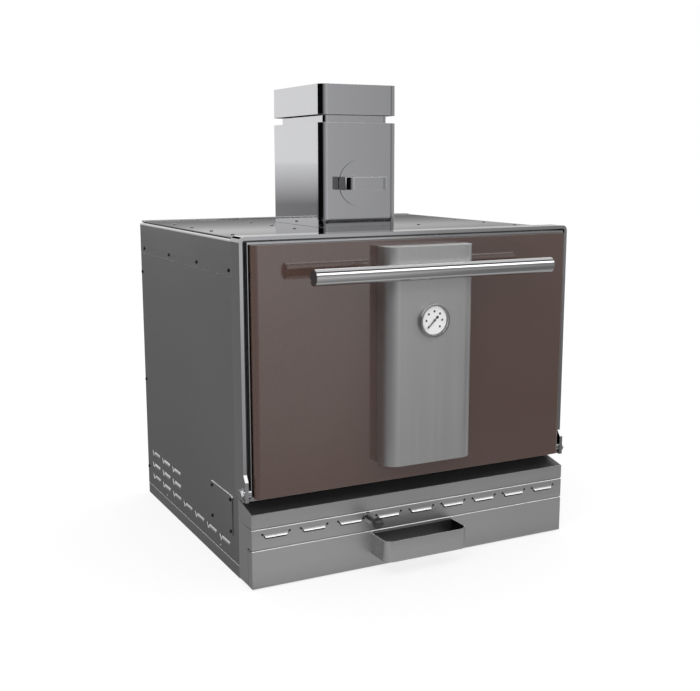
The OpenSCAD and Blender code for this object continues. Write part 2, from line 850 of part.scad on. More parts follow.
// Polished top sheet with the opening for the throat
module top_plate() {
    half = side_x - rail_bend + 2*sheet_gap;
    color(bright) difference() {
        block([-half, surround_rear + sheet_gap, plate_z], [half, rear_y, body_h]);
        translate([0, flue_y, plate_z - cut]) linear_extrude(casing_t + 2*cut)
            round_rect(throat_w + 2*sheet_gap, throat_d + 2*sheet_gap, neck_r);
        for (spot = top_spots) {
            translate([spot.x, spot.y, plate_z - cut])
                cylinder(r = shank_r + hole_gap, h = casing_t + 2*cut);
        }
    }
}

// Arch outline of the surround, open at its foot
module arch(half, top, r, foot) {
    translate([-half, foot]) square([2*half, top - r - foot]);
    translate([r - half, foot]) square([2*(half - r), top - foot]);
    for (s = [-1, 1]) translate([s*(half - r), top - r]) circle(r);
}

module arch_band(inset_out, inset_in, foot) {
    difference() {
        arch(surround_out - inset_out, surround_top - inset_out, surround_corner - inset_out, foot);
        arch(surround_in + inset_in, surround_roof + inset_in,
            surround_corner - surround_t + inset_in, foot - cut);
    }
}

// Folded hood round the door, with its feet drawn down as hinge ears
module front_surround() {
    foot = hinge_z - ear_drop;
    nose = face_y - ear_reach;
    color(bright) difference() {
        union() {
            along_y(face_y, surround_rear) arch_band(0, 0, foot);
            for (s = [-1, 1]) {
                along_x(s > 0 ? surround_in : -surround_out, s > 0 ? surround_out : -surround_in)
                    polygon([[nose, foot], [surround_rear, foot],
                        [surround_rear, hinge_z + ear_nose_h + ear_slant_h],
                        [face_y, hinge_z + ear_nose_h + ear_slant_h],
                        [nose, hinge_z + ear_nose_h]]);
            }
        }
        along_y(face_y + skin_wall, surround_rear + cut)
            arch_band(skin_wall, skin_wall, hinge_z + ear_solid_h);
        translate([0, hinge_y, hinge_z])
            bar_x(hinge_pin_r + hinge_run, -surround_out - cut, surround_out + cut);
        for (s = [-1, 1]) {
            along_y(face_y + 2*skin_wall, surround_rear - skin_wall)
                translate([s*(surround_out - surround_corner), surround_top - surround_corner])
                rotate(-s*37) translate([-corner_slot/2, surround_corner - 2*skin_wall])
                square([corner_slot, 3*skin_wall]);
            translate([0, face_y + surround_d/4, body_h - jamb_screw_drop])
                bar_x(shank_r + hole_gap, s > 0 ? surround_in - cut : -surround_in - surround_t/2,
                    s > 0 ? surround_in + surround_t/2 : cut - surround_in);
        }
        for (s = surround_screw_shares) {
            translate([s*side_x, face_y + surround_d/4, surround_roof - cut])
                cylinder(r = shank_r + hole_gap, h = surround_t/2 + cut);
        }
    }
}

// Frame that closes the insulation and gives the seal its seat
module front_frame() {
    head = plate_z - casing_t - sheet_gap;
    foot = fascia_top + ledge_slope*(side_front - front_y) + sheet_gap;
    color(steel) difference() {
        union() {
            along_y(frame_y, frame_y + frame_t)
                arch(side_x, surround_roof - surround_fit, surround_corner - surround_t, frame_z);
            for (s = [-1, 1]) {
                block([s > 0 ? inner_x : -side_x, frame_y, foot],
                    [s > 0 ? side_x : -inner_x, side_front, panel_top]);
            }
            block([sheet_gap - rail_leg, frame_y, head - casing_t],
                [rail_leg - sheet_gap, surround_rear + lip_h, head]);
        }
        along_y(frame_y - cut, frame_y + frame_t + cut)
            translate([0, (sill_z + window_z)/2])
            round_rect(2*window_x, window_z - sill_z, window_r);
    }
}

// Upper strip of the housing, with side returns cut to the slope of the ledge
module fascia() {
    low = fascia_bottom;
    side_end = front_y + fascia_side_d;
    color(steel) {
        block([-side_x, front_y, low], [side_x, front_y + casing_t, fascia_top]);
        for (x = [-side_x, inner_x]) {
            along_x(x, x + casing_t) polygon([[front_y, low], [side_end, low],
                [side_end, fascia_top + ledge_slope*fascia_side_d], [front_y, fascia_top]]);
        }
    }
}

// Dark sloping sill between the fascia and the foot of the front frame
module ledge() {
    front = front_y + casing_t;
    rear = surround_rear;
    low = fascia_top + ledge_slope*casing_t;
    high = fascia_top + ledge_slope*(rear - front_y);
    color(dark) along_x(sheet_gap - inner_x, inner_x - sheet_gap) {
        polygon([[front, low - casing_t], [rear, high - casing_t], [rear, high], [front, low]]);
        translate([front, low - flange_w]) square([casing_t, flange_w - casing_t/2]);
    }
}

// A rolled top edge along the front of a housing sheet
module rolled_edge(top) {
    along_x(-side_x, side_x) {
        translate([front_y + seam_r, top - seam_r]) intersection() {
            difference() {
                circle(seam_r);
                circle(seam_r - casing_t);
            }
            translate([-seam_r, 0]) square(seam_r);
        }
        translate([front_y + seam_r, top - casing_t]) square([flange_w - seam_r, casing_t]);
    }
}

// Strip with the air louvres, and the cheeks that close the housing's sides
module vent_panel() {
    side_end = front_y + fascia_side_d;
    low = vent_bottom;
    pan = casing_t + sheet_gap;
    places = concat(left_louvres, right_louvres);
    color(steel) {
        for (x = places) {
            translate([x, front_y, louvre_z]) flared_tongue(louvre_l, louvre_h, louvre_d, casing_t);
        }
        difference() {
            union() {
                block([-side_x, front_y, low], [side_x, front_y + casing_t, vent_top - seam_r]);
                rolled_edge(vent_top);
                for (x = [-side_x, inner_x]) {
                    along_x(x, x + casing_t) polygon([
                        [front_y + casing_t/2, low], [drawer_rear + cheek_gap, low],
                        [drawer_rear + cheek_gap, pan], [side_front, pan],
                        [side_front, fascia_top + ledge_slope*(side_front - front_y)],
                        [side_end + sheet_gap, fascia_top + ledge_slope*fascia_side_d],
                        [side_end + sheet_gap, vent_top], [front_y + seam_r, vent_top],
                        [front_y + casing_t/2, vent_top - seam_r]]);
                }
            }
            for (x = places) {
                translate([x, front_y, louvre_z])
                    flared_slit(louvre_l, louvre_h, louvre_slot_h, louvre_gap, casing_t);
            }
            translate([-reg_x, 0, reg_z]) bar_y_axis(reg_rod_r + reg_run, front_y - cut, front_y + 2*cut);
        }
    }
}

// Access cover on a side panel
module side_cover() {
    difference() {
        along_x(side_x, side_x + casing_t)
            translate([cover_front + cover_l/2, cover_z + cover_h/2])
            round_rect(cover_l, cover_h, cover_inset/2);
        for (spot = cover_spots) {
            translate([0, spot.x, spot.y])
                bar_x(shank_r + hole_gap, side_x - cut, side_x + casing_t + cut);
        }
    }
}

module left_cover() {
    color(steel) mirror([1, 0, 0]) side_cover();
}

module right_cover() {
    color(steel) side_cover();
}

// Lining of the oven, open at the door and over the firebox
module cavity_liner() {
    color(dark) difference() {
        block([-liner_x, liner_front, deck_top], [liner_x, liner_rear, cavity_top_z + liner_t]);
        block([-cavity_w/2, liner_front - cut, deck_top - cut],
            [cavity_w/2, liner_rear - liner_t, cavity_top_z]);
        translate([0, flue_y, cavity_top_z - cut]) linear_extrude(liner_t + 2*cut)
            round_rect(throat_w - 2*flue_t, throat_d - 2*flue_t, neck_r);
    }
}

// Wool between the lining and the casing
module oven_insulation() {
    x = inner_x - shank_l;
    rear = rear_y - 2*flange_w;
    color("khaki") difference() {
        block([-x, side_front + 2*casing_t, deck_top + sheet_gap], [x, rear, plate_z - 2*casing_t - 2*sheet_gap]);
        block([-liner_x - wool_gap, front_y, deck_z],
            [liner_x + wool_gap, liner_rear + wool_gap, cavity_top_z + liner_t + wool_gap]);
        translate([0, flue_y, cavity_top_z]) linear_extrude(body_h - cavity_top_z)
            round_rect(throat_w + 2*wool_gap, throat_d + 2*wool_gap, neck_r + wool_gap);
    }
}

// Deck between the casing and the firebox, with its sides turned down
module firebox_deck() {
    x = inner_x - sheet_gap/4;
    color(steel) difference() {
        block([-x, liner_front, deck_z - flange_w], [x, rear_y - 2*flange_w, deck_top]);
        block([casing_t - x, liner_front - cut, deck_z - flange_w - cut],
            [x - casing_t, rear_y, deck_z]);
        for (s = [-1, 1]) {
            notch = s*(side_x - flange_w - sheet_gap);
            block([min(notch, s*side_x), liner_front - cut, deck_z - 2*flange_w],
                [max(notch, s*side_x), side_front + 2*casing_t + sheet_gap, deck_top + cut]);
        }
        block([-well_x, well_front, deck_z - cut], [well_x, well_rear, deck_top + cut]);
    }
}

// Cast trough that leans in towards the grate
module firebox() {
    y_mid = (well_front + well_rear)/2;
    top = [2*(well_x - sheet_gap), well_rear - well_front - 2*sheet_gap];
    lean = [2*fire_lean, 2*fire_lean];
    wall = [2*fire_t, 2*fire_t];
    open = [2*(grate_x - 2*grate_edge), grate_rear - grate_front - 4*grate_edge];
    color(dark) difference() {
        union() {
            translate([0, y_mid, 0]) trough(top, top - lean, fire_z, fire_top);
            block([-fire_x, fire_front, deck_top], [fire_x, fire_rear, fire_top]);
        }
        translate([0, y_mid, 0]) trough(top - wall, top - lean - wall, fire_z + fire_t, fire_top + cut);
        translate([0, y_mid, fire_z]) cube([open.x, open.y, 4*fire_t], center = true);
    }
}

// Block that widens from a lower to an upper rectangle
module trough(upper, lower, low, high) {
    skin = 0.01;
    hull() {
        translate([0, 0, high - skin]) linear_extrude(skin) square(upper, center = true);
        translate([0, 0, low]) linear_extrude(skin) square(lower, center = true);
    }
}

// Cast grate with rows of slots, resting on the firebox floor
module fire_grate() {
    low = fire_z + fire_t + sheet_gap/2;
    reach = 2*(grate_x - fire_t);
    pitch = reach/grate_n;
    slot = pitch*grate_open_share;
    run = (grate_rear - grate_front)/2 - 2*fire_t;
    color(dark) difference() {
        block([-grate_x, grate_front, low], [grate_x, grate_rear, low + grate_t]);
        for (i = [0:grate_n - 1], k = [0, 1]) {
            x = -reach/2 + (i + 0.5)*pitch;
            y = k == 0 ? grate_front + fire_t : grate_rear - fire_t - run;
            block([x - slot/2, y, low - cut], [x + slot/2, y + run, low + grate_t + cut]);
        }
    }
}

// Angle runners on both walls of the oven
module rack_runners() {
    color(bright) for (level = [0, 1], s = [-1, 1]) {
        z = rack_low_z + level*rack_step;
        wall = s*cavity_w/2;
        block([min(wall, wall - s*runner_w), rack_front, z - runner_t],
            [max(wall, wall - s*runner_w), rack_front + rack_l, z]);
        block([min(wall, wall - s*runner_t), rack_front, z - runner_t],
            [max(wall, wall - s*runner_t), rack_front + rack_l, z + runner_h]);
    }
}

// Rack: a rounded frame with a cross bar, and rods from front to back
module grill_rack(z) {
    width = 2*(rack_x - runner_t);
    depth = rack_l - 2*rack_strip;
    pitch = width/(rack_bar_n + 1);
    color(bright) translate([0, rack_front + rack_l/2, z + slide_gap]) {
        round_tube(width, depth, rack_corner, rack_strip, rack_frame_h);
        block([rack_strip/2 - width/2, -rack_strip/2, 0],
            [width/2 - rack_strip/2, rack_strip/2, rack_frame_h - rack_bar_r]);
        for (i = [1:rack_bar_n]) {
            translate([i*pitch - width/2, 0, rack_frame_h - rack_bar_r/2])
                bar_y_axis(rack_bar_r, rack_strip/4 - depth/2, depth/2 - rack_strip/4);
        }
    }
}

module upper_grill_rack() {
    grill_rack(rack_low_z + rack_step);
}

module lower_grill_rack() {
    grill_rack(rack_low_z);
}

// Rails on the pan's floor that carry and guide the ash pan
module drawer_runners() {
    shelf = ash_z - slide_gap;
    color(bright) for (s = [-1, 1]) {
        along_y(side_front, ash_rear) scale([s, 1]) {
            translate([runner_x, casing_t]) square([runner_t, ash_top/2]);
            translate([runner_x - runner_w, shelf - runner_t]) square([runner_w, runner_t]);
            translate([runner_x, casing_t]) square([runner_w, runner_t]);
        }
    }
}

// Throat from the oven's roof into the foot of the flue
module flue_throat() {
    color(steel) translate([0, flue_y, cavity_top_z + liner_t])
        round_tube(throat_w, throat_d, neck_r, flue_t, body_h + flue_t - cavity_top_z - liner_t);
}

// Flue box with turned-in roof, and the bores of the damper's shaft
module flue_box() {
    roof = flue_t;
    color(bright) difference() {
        translate([0, flue_y, body_h]) {
            round_tube(flue_w, flue_d, flue_r, flue_t, flue_h - roof);
            translate([0, 0, flue_h - roof])
                round_tube(flue_w, flue_d, flue_r, neck_inset + flue_t, roof);
        }
        translate([0, 0, damper_z])
            bar_y_axis(shaft_r + shaft_run, flue_front - cut, flue_front + flue_d + cut);
    }
}

// Neck with four tabs that carry the hood
module flue_neck() {
    color(bright) translate([0, flue_y, flue_top]) {
        round_tube(neck_w, neck_d, neck_r, flue_t, neck_top - flue_top);
        for (s = [-1, 1]) {
            block([s*neck_w/2 - (s + 1)*flue_t/2, -tab_w/2, 0],
                [s*neck_w/2 + (1 - s)*flue_t/2, tab_w/2, hood_top - flue_t - flue_top]);
            block([-tab_w/2, s*neck_d/2 - (s + 1)*flue_t/2, 0],
                [tab_w/2, s*neck_d/2 + (1 - s)*flue_t/2, hood_top - flue_t - flue_top]);
        }
    }
}

// Draught hood, closed at the top, under which the smoke leaves
module flue_hood() {
    color(bright) translate([0, flue_y, hood_z]) {
        round_tube(flue_w, flue_d, flue_r, flue_t, hood_h - flue_t/2);
        translate([0, 0, hood_h - flue_t]) linear_extrude(flue_t) round_rect(flue_w, flue_d, flue_r);
    }
}

// Hexagon bolts with flanges, the pins on which the door turns
module hinge_bolts() {
    tip = door_x - hinge_block_l + hinge_flange_t;
    color(bright) for (s = [-1, 1]) {
        translate([0, hinge_y, hinge_z]) rotate([0, 0, s > 0 ? 0 : 180]) {
            bar_x(hinge_pin_r, tip, surround_out + hinge_flange_t);
            bar_x(hinge_flange_r, surround_out, surround_out + hinge_flange_t);
            translate([surround_out + hinge_flange_t, 0, 0]) rotate([0, 90, 0])
                cylinder(r = hinge_hex_r, h = hinge_hex_h, $fn = 6);
        }
    }
}

// Domed screws of the casing, the covers, the top sheet and the back
module casing_screws() {
    color(bright) {
        for (s = [-1, 1]) {
            for (spot = side_spots) translate([s*side_x, spot.x, spot.y]) rotate([0, s*90, 0]) screw();
            for (spot = cover_spots) {
                translate([s*(side_x + casing_t), spot.x, spot.y]) rotate([0, s*90, 0]) screw();
            }
        }
        for (spot = top_spots) translate([spot.x, spot.y, body_h]) screw(l = shank_l/2);
        for (spot = back_spots) translate([spot.x, rear_y, spot.y]) rotate([-90, 0, 0]) screw();
    }
}

// Small screws in the roof and the jambs of the surround
module surround_screws() {
    color(bright) {
        for (s = surround_screw_shares) {
            translate([s*side_x, face_y + surround_d/4, surround_roof]) rotate([180, 0, 0])
                screw(r = pin_screw_r, h = pin_screw_h, l = surround_t/2);
        }
        for (s = [-1, 1]) {
            translate([s*surround_in, face_y + surround_d/4, body_h - jamb_screw_drop])
                rotate([0, -s*90, 0]) screw(r = pin_screw_r, h = pin_screw_h, l = surround_t/2);
        }
    }
}

// Star collar in which the regulator's rod slides
module regulator_collar() {
    lobes = 6;
    notch = star_r/4;
    color(dark) translate([-reg_x, front_y, reg_z]) rotate([90, 0, 0]) linear_extrude(star_t) difference() {
        circle(star_r);
        circle(reg_rod_r + reg_run);
        for (i = [0:lobes - 1]) rotate(i*360/lobes) translate([star_r + notch/3, 0]) circle(notch);
    }
}

// Pins behind the louvres on which the regulator plate runs
module regulator_guides() {
    color(bright) for (x = guides) {
        translate([x, 0, reg_z]) bar_y_axis(guide_r, front_y + casing_t, front_y + casing_t + guide_l);
    }
}

// Back plate of the door, its edges turned back
module door_back_plate() {
    color(bright) difference() {
        block([-door_x, door_face, door_z], [door_x, door_rear, door_top]);
        block([casing_t - door_x, door_face + casing_t, door_z + casing_t],
            [door_x - casing_t, door_rear + cut, door_top - casing_t]);
        translate([0, hinge_y, hinge_z]) bar_x(hinge_neck_r + hinge_run, -door_x - cut, door_x + cut);
        translate([0, 0, gauge_z]) bar_y_axis(stem_r + hole_gap, door_face - cut, door_face + 2*cut);
    }
}

// Enamelled front of the door with rolled upright edges
module door_front_panel() {
    depth = skin_rear - skin_face;
    color(enamel) difference() {
        translate([0, skin_rear, skin_z]) linear_extrude(skin_top - skin_z)
            nose_rect(2*skin_x, depth, skin_r - sheet_gap);
        translate([0, skin_rear + cut, skin_z + skin_t]) linear_extrude(skin_top - skin_z - 2*skin_t)
            nose_rect(2*(skin_x - skin_t), depth - skin_t + cut, skin_r - skin_t);
        translate([0, 0, gauge_z]) bar_y_axis(stem_r + hole_gap, skin_face - cut, skin_rear);
    }
}

// Studs between the back plate and the front panel
module door_studs() {
    color(bright) for (x = [-1, 0, 1], z = [0, 1]) {
        translate([x*(skin_x - 4*skin_stud_r), 0, z == 0 ? skin_z + 4*skin_stud_r : skin_top - 4*skin_stud_r])
            bar_y_axis(skin_stud_r, skin_face + skin_t, door_face);
    }
}

// Insulating board inside the door
module door_insulation() {
    inset = casing_t + sheet_gap;
    color("khaki") difference() {
        block([inset - door_x, door_face + casing_t, door_z + inset],
            [door_x - inset, door_rear - casing_t, door_top - inset]);
        for (s = [-1, 1]) {
            edge = s*(door_x - casing_t);
            inner = s*(door_x - hinge_block_l - sheet_gap);
            block([min(edge, inner), door_face, door_z],
                [max(edge, inner), door_rear, hinge_z + hinge_block_h/2 + sheet_gap]);
        }
        translate([0, 0, gauge_z]) bar_y_axis(stem_r + hole_gap, door_face, door_rear);
    }
}

// Inner cover of the door with its raised plug
module door_liner() {
    inset = casing_t + sheet_gap/2;
    color(steel) difference() {
        union() {
            block([inset - door_x, door_rear - casing_t, door_z + inset],
                [door_x - inset, door_rear, door_top - inset]);
            block([-plug_x, door_rear - casing_t, plug_z], [plug_x, plug_rear, plug_top]);
        }
        block([plug_t - plug_x, door_rear - 2*casing_t, plug_z + plug_t],
            [plug_x - plug_t, plug_rear - plug_t, plug_top - plug_t]);
        translate([0, 0, gauge_z]) bar_y_axis(stem_r + hole_gap, door_rear - 2*cut, plug_rear + cut);
    }
}

// Rope seal round the plug
module door_seal() {
    color("dimgray") along_y(door_rear, door_rear + seal_d) translate([0, (seal_z + seal_top)/2])
        difference() {
            round_rect(2*(seal_x + seal_w), seal_top - seal_z + 2*seal_w, window_r + seal_w);
            round_rect(2*seal_x, seal_top - seal_z, window_r);
        }
}

// Bearing blocks in the door's lower corners, with the collars beside the ears
module hinge_bearings() {
    block_y = door_face + casing_t;
    color(bright) for (s = [-1, 1]) {
        difference() {
            union() {
                mirror([s > 0 ? 0 : 1, 0, 0]) {
                    block([door_x - hinge_block_l, block_y, hinge_z - hinge_block_h/2],
                        [door_x - casing_t, block_y + hinge_block_d, hinge_z + hinge_block_h/2]);
                    translate([0, hinge_y, hinge_z]) {
                        bar_x(hinge_neck_r, door_x - 2*casing_t, door_x + casing_t);
                        bar_x(hinge_collar_r, door_x, surround_in - slide_gap);
                    }
                }
            }
            translate([0, hinge_y, hinge_z])
                bar_x(hinge_pin_r + hinge_run, -surround_out, surround_out);
        }
    }
}

// Folded steel panel down the middle of the door
module centre_panel() {
    color(steel) difference() {
        translate([0, skin_face, centre_z]) linear_extrude(centre_h) nose_rect(centre_w, centre_d, centre_r);
        translate([0, skin_face + cut, centre_z + centre_t]) linear_extrude(centre_h - 2*centre_t)
            nose_rect(centre_w - 2*centre_t, centre_d - centre_t + cut, centre_r - centre_t);
        translate([0, 0, gauge_z]) bar_y_axis(gauge_case_r + hole_gap, centre_face - cut, skin_face);
        for (s = [-1, 1]) {
            translate([s*bar_screw_span/2, 0, bar_z])
                bar_y_axis(bar_screw_r + hole_gap, centre_face - cut, centre_face + 2*cut);
        }
    }
}

// Round tube that stands across the centre panel
module handle_bar() {
    color("white") translate([0, bar_y, bar_z]) difference() {
        bar_x(bar_r, -bar_l/2, bar_l/2);
        bar_x(bar_r - bar_wall, -bar_l/2 - cut, bar_l/2 + cut);
        for (s = [-1, 1]) {
            translate([s*bar_screw_span/2, 0, 0]) bar_y_axis(bar_screw_r + hole_gap, 0, bar_r + cut);
        }
    }
}

// Plugs that close the ends of the bar
module handle_end_plugs() {
    color(dark) translate([0, bar_y, bar_z]) for (s = [-1, 1]) {
        x = s*(bar_l/2 - bar_wall/4);
        bar_x(bar_r - bar_wall - hole_gap/2, min(x, x - s*bar_plug_l), max(x, x - s*bar_plug_l));
    }
}

// Screws from inside the centre panel into the bar
module handle_screws() {
    head = 1.7*bar_screw_r;
    color(bright) for (s = [-1, 1]) {
        translate([s*bar_screw_span/2, 0, bar_z]) {
            bar_y_axis(bar_screw_r, bar_y + bar_r/2, centre_face + centre_t + cut);
            bar_y_axis(head, centre_face + centre_t, centre_face + centre_t + bar_screw_r);
        }
    }
}

// Case and bezel of the thermometer, turned about the Y axis
module thermometer_case() {
    rear = bezel_h + gauge_case_d;
    lip = bezel_rim/2;
    color(bright) translate([0, bezel_face, gauge_z]) rotate([-90, 0, 0]) difference() {
        union() {
            rotate_extrude() {
                square([bezel_r - lip, bezel_h]);
                translate([0, lip]) square([bezel_r, bezel_h - lip]);
                translate([bezel_r - lip, lip]) circle(lip);
            }
            cylinder(r = gauge_case_r, h = rear);
        }
        translate([0, 0, -cut]) cylinder(r = bezel_r - bezel_rim, h = dial_deep + dial_t + cut);
        translate([0, 0, dial_deep]) cylinder(r = gauge_case_r - casing_t, h = rear - dial_deep - casing_t);
        cylinder(r = stem_r + hole_gap, h = rear + cut);
    }
}

// Dial with a hole for the needle's pivot
module thermometer_dial() {
    color("white") translate([0, dial_y, gauge_z]) difference() {
        bar_y_axis(gauge_case_r - casing_t - hole_gap, 0, dial_t);
        bar_y_axis(pivot_r + pivot_run, -cut, dial_t + cut);
    }
}

module thermometer_glass() {
    color([0.9, 0.95, 1, 0.35]) translate([0, glass_y, gauge_z])
        bar_y_axis(bezel_r - bezel_rim - hole_gap, 0, glass_t);
}

// Probe that reaches through the door into the oven
module thermometer_stem() {
    start = dial_y + dial_t + gauge_case_d/2;
    color(bright) translate([0, 0, gauge_z]) {
        bar_y_axis(stem_r, start, stem_end - stem_r);
        translate([0, stem_end - stem_r, 0]) sphere(stem_r);
    }
}

// Needle with a round counterweight, drawn pointing down and to the left
module thermometer_needle() {
    color("black") translate([0, needle_y, gauge_z]) rotate([0, -needle_rest, 0]) {
        rotate([90, 0, 0]) mirror([0, 0, 1]) linear_extrude(needle_t) {
            polygon([[-needle_w/2, 0], [needle_w/2, 0], [needle_w/6, needle_l], [-needle_w/6, needle_l]]);
            translate([-needle_w/3, -needle_tail_l]) square([2*needle_w/3, needle_tail_l]);
            translate([0, -needle_tail_l]) circle(needle_weight_r);
            circle(hub_r);
        }
        bar_y_axis(pivot_r, needle_t/2, needle_t + needle_lift + dial_t);
    }
}

// Drawer front folded as a shallow tray, with a rolled top edge
module drawer_front() {
    x = side_x;
    high = drawer_top - seam_r;
    color(steel) {
        block([-x, drawer_face, drawer_bottom], [x, drawer_face + casing_t, high]);
        rolled_edge(drawer_top);
        block([-x, drawer_face, drawer_bottom], [x, drawer_rear, drawer_bottom + casing_t]);
        for (s = [-x, x - casing_t]) {
            block([s, drawer_face, drawer_bottom], [s + casing_t, drawer_rear, high]);
        }
        block([-ash_w/2 - flange_w, drawer_rear - casing_t, drawer_bottom],
            [ash_w/2 + flange_w, drawer_rear, drawer_top - casing_t]);
    }
}

// Open pan that catches the ash
module ash_pan() {
    half = ash_w/2;
    color(dark) difference() {
        block([-half, ash_front, ash_z], [half, ash_rear, ash_top]);
        block([ash_t - half, ash_front + ash_t, ash_z + ash_t], [half - ash_t, ash_rear - ash_t, ash_top + cut]);
    }
}

// Strip bent into a U, standing off the plane y = 0 towards -Y
module bent_strip(l, d, h, r, wall) {
    linear_extrude(h) difference() {
        nose_rect(l, d, r);
        translate([0, cut]) nose_rect(l - 2*wall, d - wall + cut, r - wall);
    }
}

module drawer_handle() {
    color(dark) translate([-grip_x, drawer_face, grip_z]) bent_strip(grip_l, grip_d, grip_h, grip_r, grip_t);
}

// Plate that closes the louvres from behind
module regulator_plate() {
    x = louvre_edge + louvre_l/2 + flange_w/2;
    y = front_y + casing_t + reg_seat;
    color(steel) difference() {
        union() {
            block([-x, y, reg_z - reg_plate_h/2], [x, y + reg_plate_t, reg_z + reg_plate_h/2]);
            block([-x, y, reg_z + reg_plate_h/2 - reg_plate_t],
                [x, y + flange_w/2, reg_z + reg_plate_h/2]);
        }
        for (place = guides) {
            translate([place, 0, reg_z]) bar_y_axis(guide_r + reg_run, y - cut, y + reg_plate_t + cut);
        }
        translate([-reg_x, 0, reg_z]) bar_y_axis(reg_rod_r/2 + hole_gap, y - cut, y + reg_plate_t + cut);
    }
}

// Rod of the regulator with a turned-down end in the plate
module regulator_rod() {
    y = front_y + casing_t + reg_seat;
    color(dark) translate([-reg_x, 0, reg_z]) {
        bar_y_axis(reg_rod_r, front_y - ball_reach + ball_r/2, y);
        bar_y_axis(reg_rod_r/2, y - cut, y + 3*reg_plate_t);
        bar_y_axis(reg_rod_r, y + reg_plate_t, y + 3*reg_plate_t);
    }
}

// Ball knob, bored for the rod
module regulator_knob() {
    color(dark) translate([-reg_x, front_y - ball_reach, reg_z]) difference() {
        union() {
            sphere(ball_r);
            bar_y_axis(1.5*reg_rod_r, 0, ball_r);
        }
        bar_y_axis(reg_rod_r + hole_gap/2, ball_r/2, 2*ball_r);
    }
}

// Blade on a sleeve round the shaft
module damper_blade() {
    half_w = flue_w/2 - flue_t - blade_gap;
    half_d = flue_d/2 - flue_t - blade_gap;
    color(steel) translate([0, flue_y, damper_z]) difference() {
        union() {
            block([-half_w, -half_d, -blade_t/2], [half_w, half_d, blade_t/2]);
            bar_y_axis(shaft_r + sleeve_wall, -half_d, half_d);
        }
        bar_y_axis(shaft_r + hole_gap/2, -half_d - cut, half_d + cut);
    }
}

// Shaft through both walls of the flue
module damper_shaft() {
    color(bright) translate([0, 0, damper_z])
        bar_y_axis(shaft_r, flue_front - disc_gap, flue_front + flue_d + sleeve_wall);
}

// Disc outside the flue, turned by the handle
module damper_disc() {
    color(bright) translate([0, 0, damper_z])
        bar_y_axis(disc_r, flue_front - disc_gap - disc_t, flue_front - disc_gap);
}

module damper_handle() {
    front = flue_front - disc_gap - disc_t;
    color(bright) translate([0, front, damper_z - lever_h/2])
        bent_strip(lever_l, lever_d - disc_t - disc_gap, lever_h, lever_r, lever_t);
}

base_pan();
left_side_panel();
right_side_panel();
back_panel();
top_plate();
left_top_rail();
right_top_rail();
front_surround();
front_frame();
fascia();
ledge();
vent_panel();
left_cover();
right_cover();
cavity_liner();
oven_insulation();
firebox_deck();
firebox();
fire_grate();
rack_runners();
upper_grill_rack();
lower_grill_rack();
drawer_runners();
flue_throat();
flue_box();
flue_neck();
flue_hood();
hinge_bolts();
casing_screws();
surround_screws();
regulator_collar();
regulator_guides();
door_back_plate();
door_front_panel();
door_studs();
door_insulation();
door_liner();
door_seal();
hinge_bearings();
centre_panel();
handle_bar();
handle_end_plugs();
handle_screws();
thermometer_case();
thermometer_dial();
thermometer_glass();
thermometer_stem();
thermometer_needle();
drawer_front();
ash_pan();
drawer_handle();
regulator_plate();
regulator_rod();
regulator_knob();
damper_blade();
damper_shaft();
damper_disc();
damper_handle();
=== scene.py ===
import math

import bmesh
import bpy
from mathutils import Matrix, Vector


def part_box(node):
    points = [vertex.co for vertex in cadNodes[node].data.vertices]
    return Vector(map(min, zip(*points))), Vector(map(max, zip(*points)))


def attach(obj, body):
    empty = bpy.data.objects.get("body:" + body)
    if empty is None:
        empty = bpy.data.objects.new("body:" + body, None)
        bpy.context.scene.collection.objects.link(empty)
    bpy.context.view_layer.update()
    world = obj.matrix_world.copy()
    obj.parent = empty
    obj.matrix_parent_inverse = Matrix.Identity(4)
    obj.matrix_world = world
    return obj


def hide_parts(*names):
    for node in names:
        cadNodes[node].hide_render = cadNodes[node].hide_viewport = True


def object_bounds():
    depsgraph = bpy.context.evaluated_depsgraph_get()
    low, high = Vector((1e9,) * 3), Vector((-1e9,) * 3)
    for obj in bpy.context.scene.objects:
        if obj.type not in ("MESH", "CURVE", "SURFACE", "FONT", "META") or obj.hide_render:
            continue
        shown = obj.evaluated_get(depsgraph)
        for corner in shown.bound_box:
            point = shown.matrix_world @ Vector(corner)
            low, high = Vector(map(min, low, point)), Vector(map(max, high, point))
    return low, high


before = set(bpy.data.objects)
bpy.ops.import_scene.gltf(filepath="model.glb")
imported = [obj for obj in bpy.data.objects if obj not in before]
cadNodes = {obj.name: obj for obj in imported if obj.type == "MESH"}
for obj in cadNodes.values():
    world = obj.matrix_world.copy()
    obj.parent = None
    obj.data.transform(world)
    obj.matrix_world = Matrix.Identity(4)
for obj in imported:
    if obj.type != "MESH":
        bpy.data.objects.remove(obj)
cadLow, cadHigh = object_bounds()
scene = bpy.context.scene
print("charcoal oven: frame loaded,", len(cadNodes), "nodes")


# ---- camera

cameraView = {
    "location": (-0.9973, -1.9848, 0.7642),
    "tilt": 79.94,
    "turn": -27.09,
    "roll": -0.06,
    "lens": 53.7,
    "sensor": 36.0,
}

cameraData = bpy.data.cameras.new("viewCamera")
cameraData.lens = cameraView["lens"]
cameraData.sensor_width = cameraView["sensor"]
cameraData.clip_start = 0.05
cameraData.clip_end = 900
camera = bpy.data.objects.new("viewCamera", cameraData)
scene.collection.objects.link(camera)
turned = Matrix.Rotation(math.radians(cameraView["turn"]), 3, "Z")
tilted = Matrix.Rotation(math.radians(cameraView["tilt"]), 3, "X")
rolled = Matrix.Rotation(math.radians(cameraView["roll"]), 3, "Z")
camera.location = cameraView["location"]
camera.rotation_euler = (turned @ tilted @ rolled).to_euler()
scene.camera = camera
scene.view_settings.view_transform = "Standard"


# ---- small helpers for node trees

def addNode(tree, kind, **settings):
    made = tree.nodes.new(kind)
    for key, value in settings.items():
        setattr(made, key, value)
    return made


